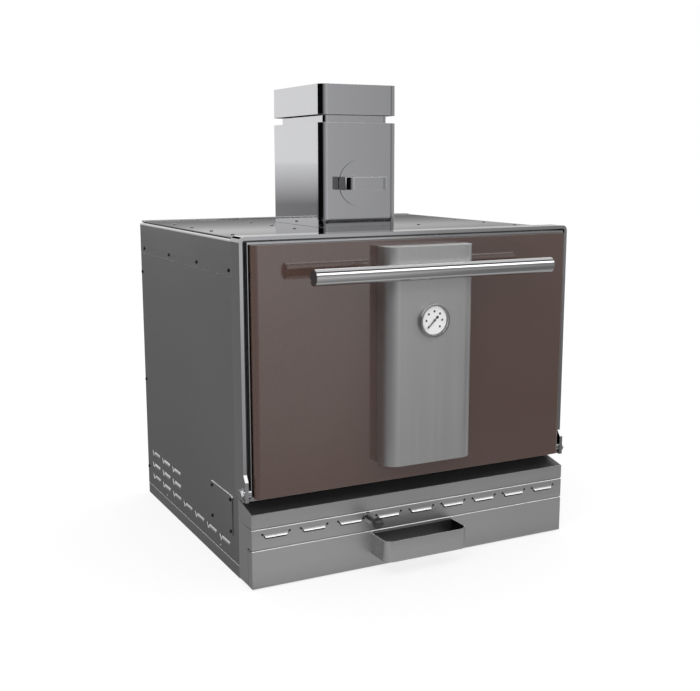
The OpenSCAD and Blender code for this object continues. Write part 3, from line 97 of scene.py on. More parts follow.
def put(socket, value):
    # a socket is linked, anything else is a plain value
    if isinstance(value, bpy.types.NodeSocket):
        socket.id_data.links.new(value, socket)
    elif isinstance(value, (tuple, list)) and socket.type == "RGBA" and len(value) == 3:
        socket.default_value = (*value, 1.0)
    else:
        socket.default_value = value


def calc(tree, operation, first, second=0.0, clamp=False):
    made = addNode(tree, "ShaderNodeMath", operation=operation, use_clamp=clamp)
    put(made.inputs[0], first)
    put(made.inputs[1], second)
    return made.outputs[0]


def remap(tree, value, low, high, newLow, newHigh, smooth=False):
    made = addNode(tree, "ShaderNodeMapRange", clamp=True)
    made.interpolation_type = "SMOOTHSTEP" if smooth else "LINEAR"
    for socket, number in zip(made.inputs, (value, low, high, newLow, newHigh)):
        put(socket, number)
    return made.outputs[0]


def tinted(tree, color, tone):
    made = addNode(tree, "ShaderNodeMix", data_type="RGBA", blend_type="MULTIPLY")
    put(made.inputs[0], 1.0)
    put(made.inputs[6], color)
    put(made.inputs[7], tone)
    return made.outputs[2]


def blended(tree, share, first, second):
    made = addNode(tree, "ShaderNodeMix", data_type="RGBA")
    put(made.inputs[0], share)
    put(made.inputs[6], first)
    put(made.inputs[7], second)
    return made.outputs[2]


def placed(tree, scale=(1, 1, 1), turn=(0, 0, 0), place=(0, 0, 0)):
    source = addNode(tree, "ShaderNodeTexCoord")
    made = addNode(tree, "ShaderNodeMapping")
    put(made.inputs["Vector"], source.outputs["Object"])
    made.inputs["Scale"].default_value = scale
    made.inputs["Rotation"].default_value = turn
    made.inputs["Location"].default_value = place
    return made.outputs["Vector"]


def bumped(tree, height, distance, strength=1.0, under=None):
    made = addNode(tree, "ShaderNodeBump")
    put(made.inputs["Height"], height)
    made.inputs["Distance"].default_value = distance
    made.inputs["Strength"].default_value = strength
    if under is not None:
        put(made.inputs["Normal"], under)
    return made.outputs["Normal"]


def ramp(tree, value, stops):
    made = addNode(tree, "ShaderNodeValToRGB")
    put(made.inputs[0], value)
    band = made.color_ramp
    while len(band.elements) < len(stops):
        band.elements.new(0.5)
    for element, (spot, level) in zip(band.elements, stops):
        element.position = spot
        element.color = (level, level, level, 1)
    return made.outputs[0]


# ---- world, floor and lamps

studio = {
    "plainLevel": 0.98,     # world light on dull surfaces
    "whiteLevel": 1.0,      # world as the camera and mirrors see it
    "lampSize": 2.4,
    "lampAim": (0, 0, 0.4),
    "lamps": (("keyLamp", (-2.3, -2.6, 2.9), 34), ("fillLamp", (2.8, 1.4, 2.6), 14)),
    "floorShadow": 0.3,     # share of the floor that keeps the shadow
    "floorWhite": 1.06,     # keeps the unshaded floor white beside its shadow
    "floorTone": 0.92,
    "floorRadius": 260,
    "floorDrop": 0.001,     # under the oven's lowest point
}


def seenDirectly(tree):
    # camera, glossy and transmission rays meet the plain white background
    path = addNode(tree, "ShaderNodeLightPath")
    first = calc(tree, "ADD", path.outputs["Is Camera Ray"], path.outputs["Is Glossy Ray"])
    return calc(tree, "ADD", first, path.outputs["Is Transmission Ray"], clamp=True)


world = bpy.data.worlds.new("studioWorld")
scene.world = world
world.use_nodes = True
tree = world.node_tree
tree.nodes.clear()
skyMix = addNode(tree, "ShaderNodeMixShader")
put(skyMix.inputs[0], seenDirectly(tree))
for socket, strength in zip(skyMix.inputs[1:], (studio["plainLevel"], studio["whiteLevel"])):
    sky = addNode(tree, "ShaderNodeBackground")
    sky.inputs["Strength"].default_value = strength
    sky.inputs["Color"].default_value = (1, 1, 1, 1)
    put(socket, sky.outputs[0])
skyOut = addNode(tree, "ShaderNodeOutputWorld")
put(skyOut.inputs["Surface"], skyMix.outputs[0])


def stageObject(name, shaped, material):
    data = bpy.data.meshes.new(name)
    shaped.to_mesh(data)
    shaped.free()
    made = bpy.data.objects.new(name, data)
    scene.collection.objects.link(made)
    data.materials.append(material)
    return made


def floorDisc(name, drop, material):
    shaped = bmesh.new()
    bmesh.ops.create_circle(shaped, cap_ends=True, segments=96, radius=studio["floorRadius"])
    bmesh.ops.translate(shaped, verts=shaped.verts, vec=(0, 0, cadLow.z - drop))
    return stageObject(name, shaped, material)


def glossyOnly(made):
    made.visible_camera = False
    made.visible_diffuse = False
    made.visible_transmission = False
    made.visible_shadow = False
    made.visible_volume_scatter = False


floorMaterial = bpy.data.materials.new("paleFloor")
floorMaterial.use_nodes = True
tree = floorMaterial.node_tree
tree.nodes.clear()
floorDiffuse = addNode(tree, "ShaderNodeBsdfDiffuse")
floorDiffuse.inputs["Color"].default_value = (*[studio["floorTone"]] * 3, 1)
floorWhite = addNode(tree, "ShaderNodeEmission")
floorWhite.inputs["Strength"].default_value = studio["floorWhite"]
floorWhite.inputs["Color"].default_value = (1, 1, 1, 1)
floorMix = addNode(tree, "ShaderNodeMixShader")
put(floorMix.inputs[0], calc(tree, "MULTIPLY", seenDirectly(tree), 1 - studio["floorShadow"]))
put(floorMix.inputs[1], floorDiffuse.outputs[0])
put(floorMix.inputs[2], floorWhite.outputs[0])
floorOut = addNode(tree, "ShaderNodeOutputMaterial")
put(floorOut.inputs["Surface"], floorMix.outputs[0])

floorDisc("studioFloor", studio["floorDrop"], floorMaterial)


def cardMaterial(name, radiance):
    # radiance is a number, or a function that builds it in the tree
    made = bpy.data.materials.new(name)
    made.use_nodes = True
    cardTree = made.node_tree
    cardTree.nodes.clear()
    glow = addNode(cardTree, "ShaderNodeEmission")
    glow.inputs["Color"].default_value = (1, 1, 1, 1)
    put(glow.inputs["Strength"], radiance(cardTree) if callable(radiance) else radiance)
    out = addNode(cardTree, "ShaderNodeOutputMaterial")
    put(out.inputs["Surface"], glow.outputs[0])
    return made


# the dark studio floor that the steel reflects: by angle round the near corner,
# and in front of the door by distance and by the place it is seen from
floorCard = {
    "drop": 0.0004,
    "centre": (-0.345, -0.35),
    "farStart": 16.7,
    "farLevel": 0.95,
    "stops": (
        (-180, 0.22), (-150, 0.18), (-120, 0.20), (-95, 0.24), (-60, 0.36), (-20, 0.40),
        (0, 0.38), (45, 0.34), (88, 0.19), (98, 0.21), (104, 0.22), (109, 0.29),
        (113, 0.25), (120, 0.22), (140, 0.21), (165, 0.22), (180, 0.22),
    ),
    "frontEdge": -0.325,
    "frontSpan": (-0.3, 0.3),
    "frontTones": (0.32, -0.42),    # added to 1 at the two ends, far ahead
    "frontReach": 8.0,
    "frontStops": ((0, 0.36), (0.013, 0.50), (0.022, 0.58), (0.038, 0.24), (0.16, 0.33),
                   (0.57, 0.48), (1, 0.50)),
    "frontLean": 0.577,
    "leftLean": 0.33,
    "leftFade": (-0.60, -0.36),
    "toneGrowth": (0.1, 1.0, 0.25, 1.0),
    "edgeFade": 0.02,
}


def floorRadiance(cardTree):
    point = placed(cardTree, place=(-floorCard["centre"][0], -floorCard["centre"][1], 0))
    split = addNode(cardTree, "ShaderNodeSeparateXYZ")
    put(split.inputs[0], point)
    angle = calc(cardTree, "ARCTAN2", split.outputs["Y"], split.outputs["X"])
    turnShare = calc(cardTree, "MULTIPLY_ADD", angle, 1 / (2 * math.pi))
    turnShare.node.inputs[2].default_value = 0.5
    near = ramp(cardTree, turnShare, [((a + 180) / 360, level) for a, level in floorCard["stops"]])
    reach = addNode(cardTree, "ShaderNodeVectorMath", operation="LENGTH")
    put(reach.inputs[0], point)
    slope = calc(cardTree, "DIVIDE", floorCard["farStart"], reach.outputs["Value"], clamp=True)
    grey = addNode(cardTree, "ShaderNodeRGBToBW")
    put(grey.inputs[0], near)
    share = calc(cardTree, "SUBTRACT", grey.outputs[0], floorCard["farLevel"])
    lifted = calc(cardTree, "MULTIPLY", share, slope)
    around = calc(cardTree, "ADD", lifted, floorCard["farLevel"])
    spot = addNode(cardTree, "ShaderNodeSeparateXYZ")
    put(spot.inputs[0], placed(cardTree))
    ahead = calc(cardTree, "SUBTRACT", floorCard["frontEdge"], spot.outputs["Y"])
    source = calc(cardTree, "SUBTRACT", spot.outputs["X"],
                  calc(cardTree, "MULTIPLY", ahead, floorCard["frontLean"]))
    shift = remap(cardTree, source, *floorCard["frontSpan"], *floorCard["frontTones"])
    shift = calc(cardTree, "MULTIPLY", shift,
                 remap(cardTree, ahead, *floorCard["toneGrowth"]))
    tone = calc(cardTree, "ADD", shift, 1.0)
    level = ramp(cardTree, remap(cardTree, ahead, 0.0, floorCard["frontReach"], 0.0, 1.0),
                 floorCard["frontStops"])
    levelGrey = addNode(cardTree, "ShaderNodeRGBToBW")
    put(levelGrey.inputs[0], level)
    before = calc(cardTree, "MULTIPLY", levelGrey.outputs[0], tone)
    leftEdge = calc(cardTree, "SUBTRACT", spot.outputs["X"],
                    calc(cardTree, "MULTIPLY", ahead, floorCard["leftLean"]))
    isAhead = calc(cardTree, "MULTIPLY",
                   remap(cardTree, ahead, 0.0, floorCard["edgeFade"], 0.0, 1.0),
                   remap(cardTree, leftEdge, *floorCard["leftFade"], 0.0, 1.0))
    gap = calc(cardTree, "SUBTRACT", before, around)
    return calc(cardTree, "ADD", around, calc(cardTree, "MULTIPLY", gap, isAhead))


glossyOnly(floorDisc("floorCard", floorCard["drop"], cardMaterial("floorCard", floorRadiance)))


# the bright horizon behind the oven, as stops of height on its card
backGlow = {
    "low": 1.65,
    "high": 2.35,
    "stops": ((1.65, 0.12), (1.79, 0.23), (1.84, 0.30), (1.93, 0.46), (2.03, 0.76),
              (2.09, 0.74), (2.16, 0.56), (2.35, 0.50)),
    "sideways": (7.0, 14.0, 1.16, 0.82),
}


def backRadiance(cardTree):
    split = addNode(cardTree, "ShaderNodeSeparateXYZ")
    put(split.inputs[0], placed(cardTree))
    low, high = backGlow["low"], backGlow["high"]
    share = remap(cardTree, split.outputs["Z"], low, high, 0.0, 1.0)
    band = ramp(cardTree, share, [((z - low) / (high - low), v) for z, v in backGlow["stops"]])
    grey = addNode(cardTree, "ShaderNodeRGBToBW")
    put(grey.inputs[0], band)
    side = remap(cardTree, split.outputs["X"], *backGlow["sideways"])
    return calc(cardTree, "MULTIPLY", grey.outputs[0], side)


# the card before the oven, each factor as (axis, from, to, its value there and there)
frontGlow = {
    "left": ("X", -7.4, 1.6, 0.0, 1.0),     # dark where the bends of the sheets look
    "above": ("Z", 1.7, 3.0, 1.0, 0.65),
    "right": ("X", 2.6, 6.8, 0.61, 0.25),
}


def frontRadiance(cardTree):
    split = addNode(cardTree, "ShaderNodeSeparateXYZ")
    put(split.inputs[0], placed(cardTree))
    level = 1.0
    for axis, *span in frontGlow.values():
        level = calc(cardTree, "MULTIPLY", remap(cardTree, split.outputs[axis], *span), level)
    return level


# each card from one floor point to another, with its height and radiance
cards = {
    "frontCard": ((-9.0, -8.0), (12.0, -8.0), 3.6, frontRadiance),
    "leftCard": ((-9.0, -8.0), (-9.0, 3.4), 3.6, 0.004),
    "rightCard": ((12.0, -8.0), (12.0, 6.0), 2.4, 0.42),
    "backCard": ((1.0, 20.0), (26.0, 20.0), 2.4, backRadiance),
}


def addCard(name, corners, radiance):
    shaped = bmesh.new()
    shaped.faces.new([shaped.verts.new(corner) for corner in corners])
    glossyOnly(stageObject(name, shaped, cardMaterial(name, radiance)))


for name, (start, end, top, radiance) in cards.items():
    addCard(name, [(*start, 0.0), (*end, 0.0), (*end, top), (*start, top)], radiance)

# strips of the ceiling from front to rear, the brightest of which shows in the handle bar
ceiling = {"height": 3.0, "left": -4.0, "right": 9.0,
           "strips": (("frontStrip", -8.3, -4.0, 0.30), ("softBoxEdge", -4.0, -3.6, 0.80),
                      ("softBox", -3.6, -1.8, 2.6), ("rearStrip", -1.8, -0.6, 0.12),
                      ("skyStrip", -0.6, 3.0, 0.78))}

for name, fromY, toY, radiance in ceiling["strips"]:
    addCard(name, [(ceiling[side], y, ceiling["height"]) for side, y in (
        ("left", fromY), ("right", fromY), ("right", toY), ("left", toY))], radiance)


for name, place, power in studio["lamps"]:
    data = bpy.data.lights.new(name, "AREA")
    data.size = studio["lampSize"]
    data.energy = power
    made = bpy.data.objects.new(name, data)
    scene.collection.objects.link(made)
    made.location = place
    direction = Vector(studio["lampAim"]) - Vector(place)
    made.rotation_euler = direction.to_track_quat("-Z", "Y").to_euler()
    made.visible_glossy = False
print("studio ready")


# ---- node groups shared by the finishes

def newGroup(name, inputs, outputs):
    made = bpy.data.node_groups.new(name, "ShaderNodeTree")
    for label, kind, value in inputs:
        socket = made.interface.new_socket(name=label, in_out="INPUT", socket_type=kind)
        if value is not None:
            socket.default_value = value
    for label, kind in outputs:
        made.interface.new_socket(name=label, in_out="OUTPUT", socket_type=kind)
    return made, addNode(made, "NodeGroupInput"), addNode(made, "NodeGroupOutput")


floatKind, vectorKind = "NodeSocketFloat", "NodeSocketVector"

# fine streaks of rolled or brushed sheet, with slow clouds in the roughness
sheetGrain, given, result = newGroup(
    "sheetGrain",
    [("Vector", vectorKind, None), ("Streaks", floatKind, 90.0), ("Depth", floatKind, 0.05),
     ("Smooth", floatKind, 0.14), ("Dull", floatKind, 0.22)],
    [("Tone", floatKind), ("Roughness", floatKind), ("Height", floatKind)])
stretch = addNode(sheetGrain, "ShaderNodeVectorMath", operation="MULTIPLY")
put(stretch.inputs[0], given.outputs["Vector"])
stretch.inputs[1].default_value = (0.03, 1.0, 1.0)
streak = addNode(sheetGrain, "ShaderNodeTexNoise")
put(streak.inputs["Vector"], stretch.outputs[0])
put(streak.inputs["Scale"], given.outputs["Streaks"])
streak.inputs["Detail"].default_value = 4.0
streak.inputs["Roughness"].default_value = 0.65
cloud = addNode(sheetGrain, "ShaderNodeTexNoise")
put(cloud.inputs["Vector"], given.outputs["Vector"])
cloud.inputs["Scale"].default_value = 3.5
cloud.inputs["Detail"].default_value = 3.0
mixed = calc(sheetGrain, "ADD", calc(sheetGrain, "MULTIPLY", streak.outputs[0], 0.6),
             calc(sheetGrain, "MULTIPLY", cloud.outputs[0], 0.4))
put(result.inputs["Roughness"], remap(sheetGrain, mixed, 0.35, 0.65,
                                      given.outputs["Smooth"], given.outputs["Dull"]))
shift = calc(sheetGrain, "MULTIPLY", calc(sheetGrain, "SUBTRACT", mixed, 0.5),
             given.outputs["Depth"])
put(result.inputs["Tone"], calc(sheetGrain, "MULTIPLY_ADD", shift, 4.0))
result.inputs["Tone"].links[0].from_node.inputs[2].default_value = 1.0
put(result.inputs["Height"], streak.outputs[0])

# pitted skin of castings and of sprayed coats
pittedSkin, given, result = newGroup(
    "pittedSkin",
    [("Vector", vectorKind, None), ("Size", floatKind, 260.0), ("Pits", floatKind, 0.5)],
    [("Tone", floatKind), ("Height", floatKind)])
grain = addNode(pittedSkin, "ShaderNodeTexNoise")
put(grain.inputs["Vector"], given.outputs["Vector"])
put(grain.inputs["Scale"], given.outputs["Size"])
grain.inputs["Detail"].default_value = 5.0
cells = addNode(pittedSkin, "ShaderNodeTexVoronoi")
put(cells.inputs["Vector"], given.outputs["Vector"])
put(cells.inputs["Scale"], calc(pittedSkin, "MULTIPLY", given.outputs["Size"], 0.6))
pits = remap(pittedSkin, cells.outputs["Distance"], 0.0, 0.45, 0.0, 1.0)
put(result.inputs["Height"], calc(pittedSkin, "ADD", grain.outputs[0],
                                  calc(pittedSkin, "MULTIPLY", pits, given.outputs["Pits"])))
put(result.inputs["Tone"], remap(pittedSkin, grain.outputs[0], 0.3, 0.7, 0.85, 1.12))

# crossed fibres of wool board and rope
fibreMat, given, result = newGroup(
    "fibreMat",
    [("Vector", vectorKind, None), ("Size", floatKind, 300.0)],
    [("Tone", floatKind), ("Height", floatKind)])
layers = []
for turn in (0.0, 1.1, 2.2):
    spun = addNode(fibreMat, "ShaderNodeMapping")
    put(spun.inputs["Vector"], given.outputs["Vector"])
    spun.inputs["Rotation"].default_value = (turn, turn * 0.7, turn)
    spun.inputs["Scale"].default_value = (0.12, 1.0, 1.0)
    strands = addNode(fibreMat, "ShaderNodeTexNoise")
    put(strands.inputs["Vector"], spun.outputs[0])
    put(strands.inputs["Scale"], given.outputs["Size"])
    strands.inputs["Detail"].default_value = 3.0
    layers.append(strands.outputs[0])
laid = calc(fibreMat, "MAXIMUM", calc(fibreMat, "MAXIMUM", layers[0], layers[1]), layers[2])
put(result.inputs["Height"], laid)
put(result.inputs["Tone"], remap(fibreMat, laid, 0.4, 0.75, 0.7, 1.15))


def useGroup(tree, group, **values):
    made = addNode(tree, "ShaderNodeGroup", node_tree=group)
    for label, value in values.items():
        put(made.inputs[label], value)
    return made


def newFinish(name, metallic, roughness, color):
    made = bpy.data.materials.new(name)
    made.use_nodes = True
    shader = made.node_tree.nodes["Principled BSDF"]
    shader.inputs["Metallic"].default_value = metallic
    shader.inputs["Roughness"].default_value = roughness
    shader.inputs["Base Color"].default_value = (*color, 1)
    made.diffuse_color = (*color, 1)
    return made, made.node_tree, shader


finishes = {}


def facing(tree, axis, sign, low, high):
    # 1 where the surface faces along one axis, 0 elsewhere; it masks the painted highlights
    source = addNode(tree, "ShaderNodeTexCoord")
    split = addNode(tree, "ShaderNodeSeparateXYZ")
    put(split.inputs[0], source.outputs["Normal"])
    return remap(tree, calc(tree, "MULTIPLY", split.outputs[axis], sign), low, high, 0.0, 1.0)


def steelFinish(name, color, smooth, dull, depth, turn, streaks=90.0, lift=0.00002,
                paintedHighlight=None, facings=(), grazing=None, matte=None):
    # the faces that facings name get a lighter tone, a painted highlight; matte makes those
    # faces dull and not metallic, so that pressed tongues and edges show as pale painted
    # light, and grazing tints the far sheen
    made, tree, shader = newFinish(name, 1.0, dull, color)
    grainNode = useGroup(tree, sheetGrain, Vector=placed(tree, turn=turn), Streaks=streaks,
                         Depth=depth, Smooth=smooth, Dull=dull)
    tone = color
    if paintedHighlight:
        masks = [facing(tree, *one) for one in facings]
        mask = masks[0] if len(masks) == 1 else calc(tree, "MAXIMUM", masks[0], masks[1])
        tone = blended(tree, mask, (*color, 1), (*paintedHighlight, 1))
    put(shader.inputs["Base Color"], tinted(tree, tone, grainNode.outputs["Tone"]))
    rough = grainNode.outputs["Roughness"]
    if matte:
        rough = calc(tree, "MAXIMUM", rough, calc(tree, "MULTIPLY", mask, matte))
        put(shader.inputs["Metallic"], calc(tree, "SUBTRACT", 1.0, mask))
    put(shader.inputs["Roughness"], rough)
    put(shader.inputs["Normal"], bumped(tree, grainNode.outputs["Height"], lift))
    if grazing:
        shader.inputs["Specular Tint"].default_value = (grazing, grazing, grazing, 1)
    finishes[name] = made


alongX, alongY, alongZ = (0, 0, 0), (0, 0, math.pi / 2), (0, math.pi / 2, 0)
upward = ("Z", 1, 0.08, 0.35)
brushed, bright, highlightTone = (0.335, 0.336, 0.338), (0.59, 0.592, 0.61), (0.78, 0.78, 0.79)
# the faces named in each facings list are painted lighter, a painted highlight: upward faces, the
# surround's front and top, the rails' shoulders, and pale pressed tongues where matte is given
steelFinish("casingSteelFront", (0.56, 0.56, 0.563), 0.38, 0.46, 0.05, alongX,
            90.0, 0.000008, paintedHighlight=highlightTone, facings=(upward,))
steelFinish("casingSteelSide", brushed, 0.19, 0.25, 0.04, alongY,
            90.0, 0.000006, paintedHighlight=(0.92, 0.92, 0.93), facings=(upward,), matte=0.5)
steelFinish("panSteel", (0.40, 0.40, 0.403), 0.19, 0.25, 0.04, alongY,
            90.0, 0.000006, paintedHighlight=(0.86, 0.86, 0.87), facings=(upward,), matte=0.5)
steelFinish("centreSteel", (0.66, 0.66, 0.664), 0.38, 0.46, 0.04, alongZ,
            90.0, 0.000008, paintedHighlight=highlightTone, facings=(upward,))
steelFinish("surroundSteel", (0.345, 0.345, 0.347), 0.06, 0.11, 0.03, alongX, 60.0, 0.000004,
            paintedHighlight=bright, facings=(("Y", -1, 0.8, 0.95), ("Z", 1, 0.8, 0.95)))
steelFinish("topSheet", (0.56, 0.562, 0.565), 0.012, 0.03, 0.03, alongX, 60.0, 0.000001,
            grazing=0.5)
steelFinish("polishedSteel", bright, 0.035, 0.07, 0.03, alongX, 60.0, 0.000004)
steelFinish("polishedFlue", bright, 0.025, 0.05, 0.02, alongZ, 60.0, 0.000002,
            paintedHighlight=highlightTone, facings=(upward,))
steelFinish("brightChrome", (0.66, 0.66, 0.67), 0.03, 0.06, 0.02, alongX, 120.0, 0.000003)
steelFinish("boltChrome", (0.42, 0.42, 0.43), 0.05, 0.10, 0.05, alongX, 120.0, 0.000003)
steelFinish("darkSteel", (0.13, 0.13, 0.135), 0.28, 0.42, 0.12, alongX, 70.0)
steelFinish("blackScrew", (0.035, 0.035, 0.036), 0.22, 0.36, 0.10, alongX, 160.0, 0.000004)
# near black, a painted shade for the regulator plate seen through the louvre slots
steelFinish("paintedShadeSteel", (0.020, 0.020, 0.020), 0.40, 0.60, 0.15, alongX, 70.0)
steelFinish("handleSteel", (0.50, 0.50, 0.503), 0.24, 0.32, 0.05, alongX, 60.0, 0.000003,
            paintedHighlight=highlightTone, facings=(upward,))
steelFinish("railSteel", brushed, 0.19, 0.25, 0.04, alongY, 90.0, 0.000004,
            paintedHighlight=highlightTone, facings=(("Z", 1, 0.45, 0.85),))


def paintLightOrShade(name, color, build):
    # painted light or shade: another tone where build's mask of the object coordinates is 1
    tree = finishes[name].node_tree
    shader = tree.nodes["Principled BSDF"]
    plain = shader.inputs["Base Color"].links[0].from_socket
    split = addNode(tree, "ShaderNodeSeparateXYZ")
    put(split.inputs[0], placed(tree))
    put(shader.inputs["Base Color"], blended(tree, build(tree, split), plain, (*color, 1)))


def zone(limits, centre=0.0):
    # inside a box of object coordinates, with X as the distance from centre
    def build(tree, split):
        inside = 1.0
        for axis, (low, high) in limits.items():
            spot = split.outputs[axis]
            if axis == "X":
                spot = calc(tree, "ABSOLUTE", calc(tree, "SUBTRACT", spot, centre))
            both = calc(tree, "MULTIPLY", calc(tree, "GREATER_THAN", spot, low),
                        calc(tree, "LESS_THAN", spot, high))
            inside = calc(tree, "MULTIPLY", both, inside)
        return inside
    return build


# painted shade, black in the rails' groove, and painted highlights, light lines on the sheet edges
# along the seams
paintLightOrShade("railSteel", (0.006, 0.006, 0.006), zone({"X": (-1, 0.3402), "Z": (0.6245, 1)}))
paintLightOrShade("topSheet", (0.86, 0.86, 0.87), zone({"X": (0.3386, 1), "Z": (0.0, 1)}))
paintLightOrShade("casingSteelSide", (0.56, 0.56, 0.563), zone({"Z": (0.5796, 0.5816)}))
paintLightOrShade("panSteel", (0.95, 0.95, 0.96), zone({"Z": (0.0222, 0.0245)}))

# painted shade inside the drawer's pull, with its rounded front corners, and on the
# drawer's front behind it
pull = {"middle": -0.011, "halfFlat": 0.072, "flatTo": 0.3624, "corner": 0.0178, "top": 0.0668}


def pullShade(tree, split):
    def past(distance, limit):
        return calc(tree, "MAXIMUM", calc(tree, "SUBTRACT", distance, limit), 0.0)

    def squared(value):
        return calc(tree, "MULTIPLY", value, value)

    sideways = calc(tree, "ABSOLUTE", calc(tree, "SUBTRACT", split.outputs["X"], pull["middle"]))
    forward = calc(tree, "MULTIPLY", split.outputs["Y"], -1.0)
    spread = calc(tree, "SQRT", calc(tree, "ADD", squared(past(sideways, pull["halfFlat"])),
                                     squared(past(forward, pull["flatTo"]))))
    return calc(tree, "MULTIPLY", calc(tree, "LESS_THAN", spread, pull["corner"]),
                calc(tree, "LESS_THAN", split.outputs["Z"], pull["top"]))


paintLightOrShade("handleSteel", (0.05, 0.05, 0.05), pullShade)
paintLightOrShade("casingSteelFront", (0.13, 0.13, 0.13),
        zone({"X": (-1, 0.0895), "Y": (-1, -0.3225), "Z": (0.028, 0.0665)}, pull["middle"]))


def coatedFinish(name, color, roughness, gloss, size, lift):
    # a hard enamel or plastic skin, whose gloss is its index of refraction
    made, tree, shader = newFinish(name, 0.0, roughness, color)
    skin = useGroup(tree, pittedSkin, Vector=placed(tree), Size=size, Pits=0.1)
    put(shader.inputs["Base Color"], tinted(tree, color, remap(
        tree, skin.outputs["Tone"], 0.85, 1.12, 0.97, 1.03)))
    put(shader.inputs["Roughness"], remap(
        tree, skin.outputs["Tone"], 0.85, 1.12, roughness * 0.9, roughness * 1.1))
    put(shader.inputs["Normal"], bumped(tree, skin.outputs["Height"], lift))
    shader.inputs["IOR"].default_value = gloss
    finishes[name] = made


coatedFinish("brownEnamel", (0.073, 0.041, 0.033), 0.09, 2.12, 420.0, 0.000003)
coatedFinish("darkEnamel", (0.034, 0.034, 0.034), 0.32, 1.6, 380.0, 0.00001)
coatedFinish("knobPlastic", (0.030, 0.030, 0.031), 0.34, 1.5, 500.0, 0.000006)
coatedFinish("needleBlack", (0.006, 0.006, 0.006), 0.5, 1.4, 600.0, 0.000002)
# near black for the painted shade in the surround's slots
coatedFinish("slotShadeBlack", (0.003, 0.003, 0.003), 0.9, 1.03, 600.0, 0.000002)
coatedFinish("dialWhite", (0.97, 0.97, 0.97), 0.35, 1.45, 600.0, 0.000002)

ironBlack = (0.035, 0.034, 0.034)
made, tree, shader = newFinish("castIron", 0.6, 0.55, ironBlack)
skin = useGroup(tree, pittedSkin, Vector=placed(tree), Size=240.0, Pits=0.9)
put(shader.inputs["Base Color"], tinted(tree, ironBlack, skin.outputs["Tone"]))
put(shader.inputs["Roughness"], remap(tree, skin.outputs["Tone"], 0.85, 1.12, 0.45, 0.7))
put(shader.inputs["Normal"], bumped(tree, skin.outputs["Height"], 0.0006))
finishes["castIron"] = made

for name, color, size, lift in (
        ("woolBoard", (0.52, 0.47, 0.36), 260.0, 0.0008),
        ("ropeFibre", (0.20, 0.20, 0.20), 700.0, 0.0003)):
    made, tree, shader = newFinish(name, 0.0, 0.9, color)
    mat = useGroup(tree, fibreMat, Vector=placed(tree), Size=size)
    put(shader.inputs["Base Color"], tinted(tree, color, mat.outputs["Tone"]))
    put(shader.inputs["Roughness"], remap(tree, mat.outputs["Tone"], 0.7, 1.15, 0.95, 0.75))
    put(shader.inputs["Normal"], bumped(tree, mat.outputs["Height"], lift))
    finishes[name] = made

# clear glass, open to shadow rays so that the dial behind it is lit
made, tree, shader = newFinish("gaugeGlass", 0.0, 0.02, (1, 1, 1))
shader.inputs["Transmission Weight"].default_value = 1.0
shader.inputs["IOR"].default_value = 1.48
smear = addNode(tree, "ShaderNodeTexNoise")
put(smear.inputs["Vector"], placed(tree))
smear.inputs["Scale"].default_value = 90.0
put(shader.inputs["Roughness"], remap(tree, smear.outputs[0], 0.3, 0.7, 0.01, 0.035))
clear = addNode(tree, "ShaderNodeBsdfTransparent")
glassMix = addNode(tree, "ShaderNodeMixShader")
put(glassMix.inputs[0], addNode(tree, "ShaderNodeLightPath").outputs["Is Shadow Ray"])
put(glassMix.inputs[1], shader.outputs[0])
put(glassMix.inputs[2], clear.outputs[0])
put(tree.nodes["Material Output"].inputs["Surface"], glassMix.outputs[0])
finishes["gaugeGlass"] = made

nodeFinish = {
    "casingSteelFront": ["front_frame", "fascia", "vent_panel", "drawer_front",
                         "firebox_deck", "back_panel"],
    "casingSteelSide": ["left_side_panel", "right_side_panel", "left_cover", "right_cover"],
    "panSteel": ["base_pan"],
    "railSteel": ["left_top_rail", "right_top_rail"],
    "centreSteel": ["centre_panel"],
    "surroundSteel": ["front_surround"],
    "topSheet": ["top_plate"],
    "polishedSteel": ["door_back_plate", "door_liner", "damper_blade", "damper_disc",
                      "damper_handle", "rack_runners", "drawer_runners"],
    "polishedFlue": ["flue_box", "flue_neck", "flue_hood", "flue_throat"],
    "brightChrome": ["handle_bar", "thermometer_stem", "upper_grill_rack", "lower_grill_rack",
                     "handle_screws", "regulator_guides", "damper_shaft", "door_studs"],
    "boltChrome": ["hinge_bolts", "hinge_bearings", "thermometer_case", "regulator_collar"],
    "blackScrew": ["casing_screws", "surround_screws"],
    "brownEnamel": ["door_front_panel"],
    "darkEnamel": ["ledge", "handle_end_plugs"],
    "castIron": ["firebox", "fire_grate"],
    "darkSteel": ["cavity_liner", "ash_pan", "regulator_rod"],
    # the regulator plate, painted near black as the shade in the louvre slots
    "paintedShadeSteel": ["regulator_plate"],
    "handleSteel": ["drawer_handle"],
    "woolBoard": ["oven_insulation", "door_insulation"],
    "ropeFibre": ["door_seal"],
    "dialWhite": ["thermometer_dial"],
    "needleBlack": ["thermometer_needle"],
    "gaugeGlass": ["thermometer_glass"],
    "knobPlastic": ["regulator_knob"],
}
for finish, members in nodeFinish.items():
    for member in members:
        for place in cadNodes[member].material_slots:
            place.material = finishes[finish]
print("finishes on", sum(len(m) for m in nodeFinish.values()), "nodes")

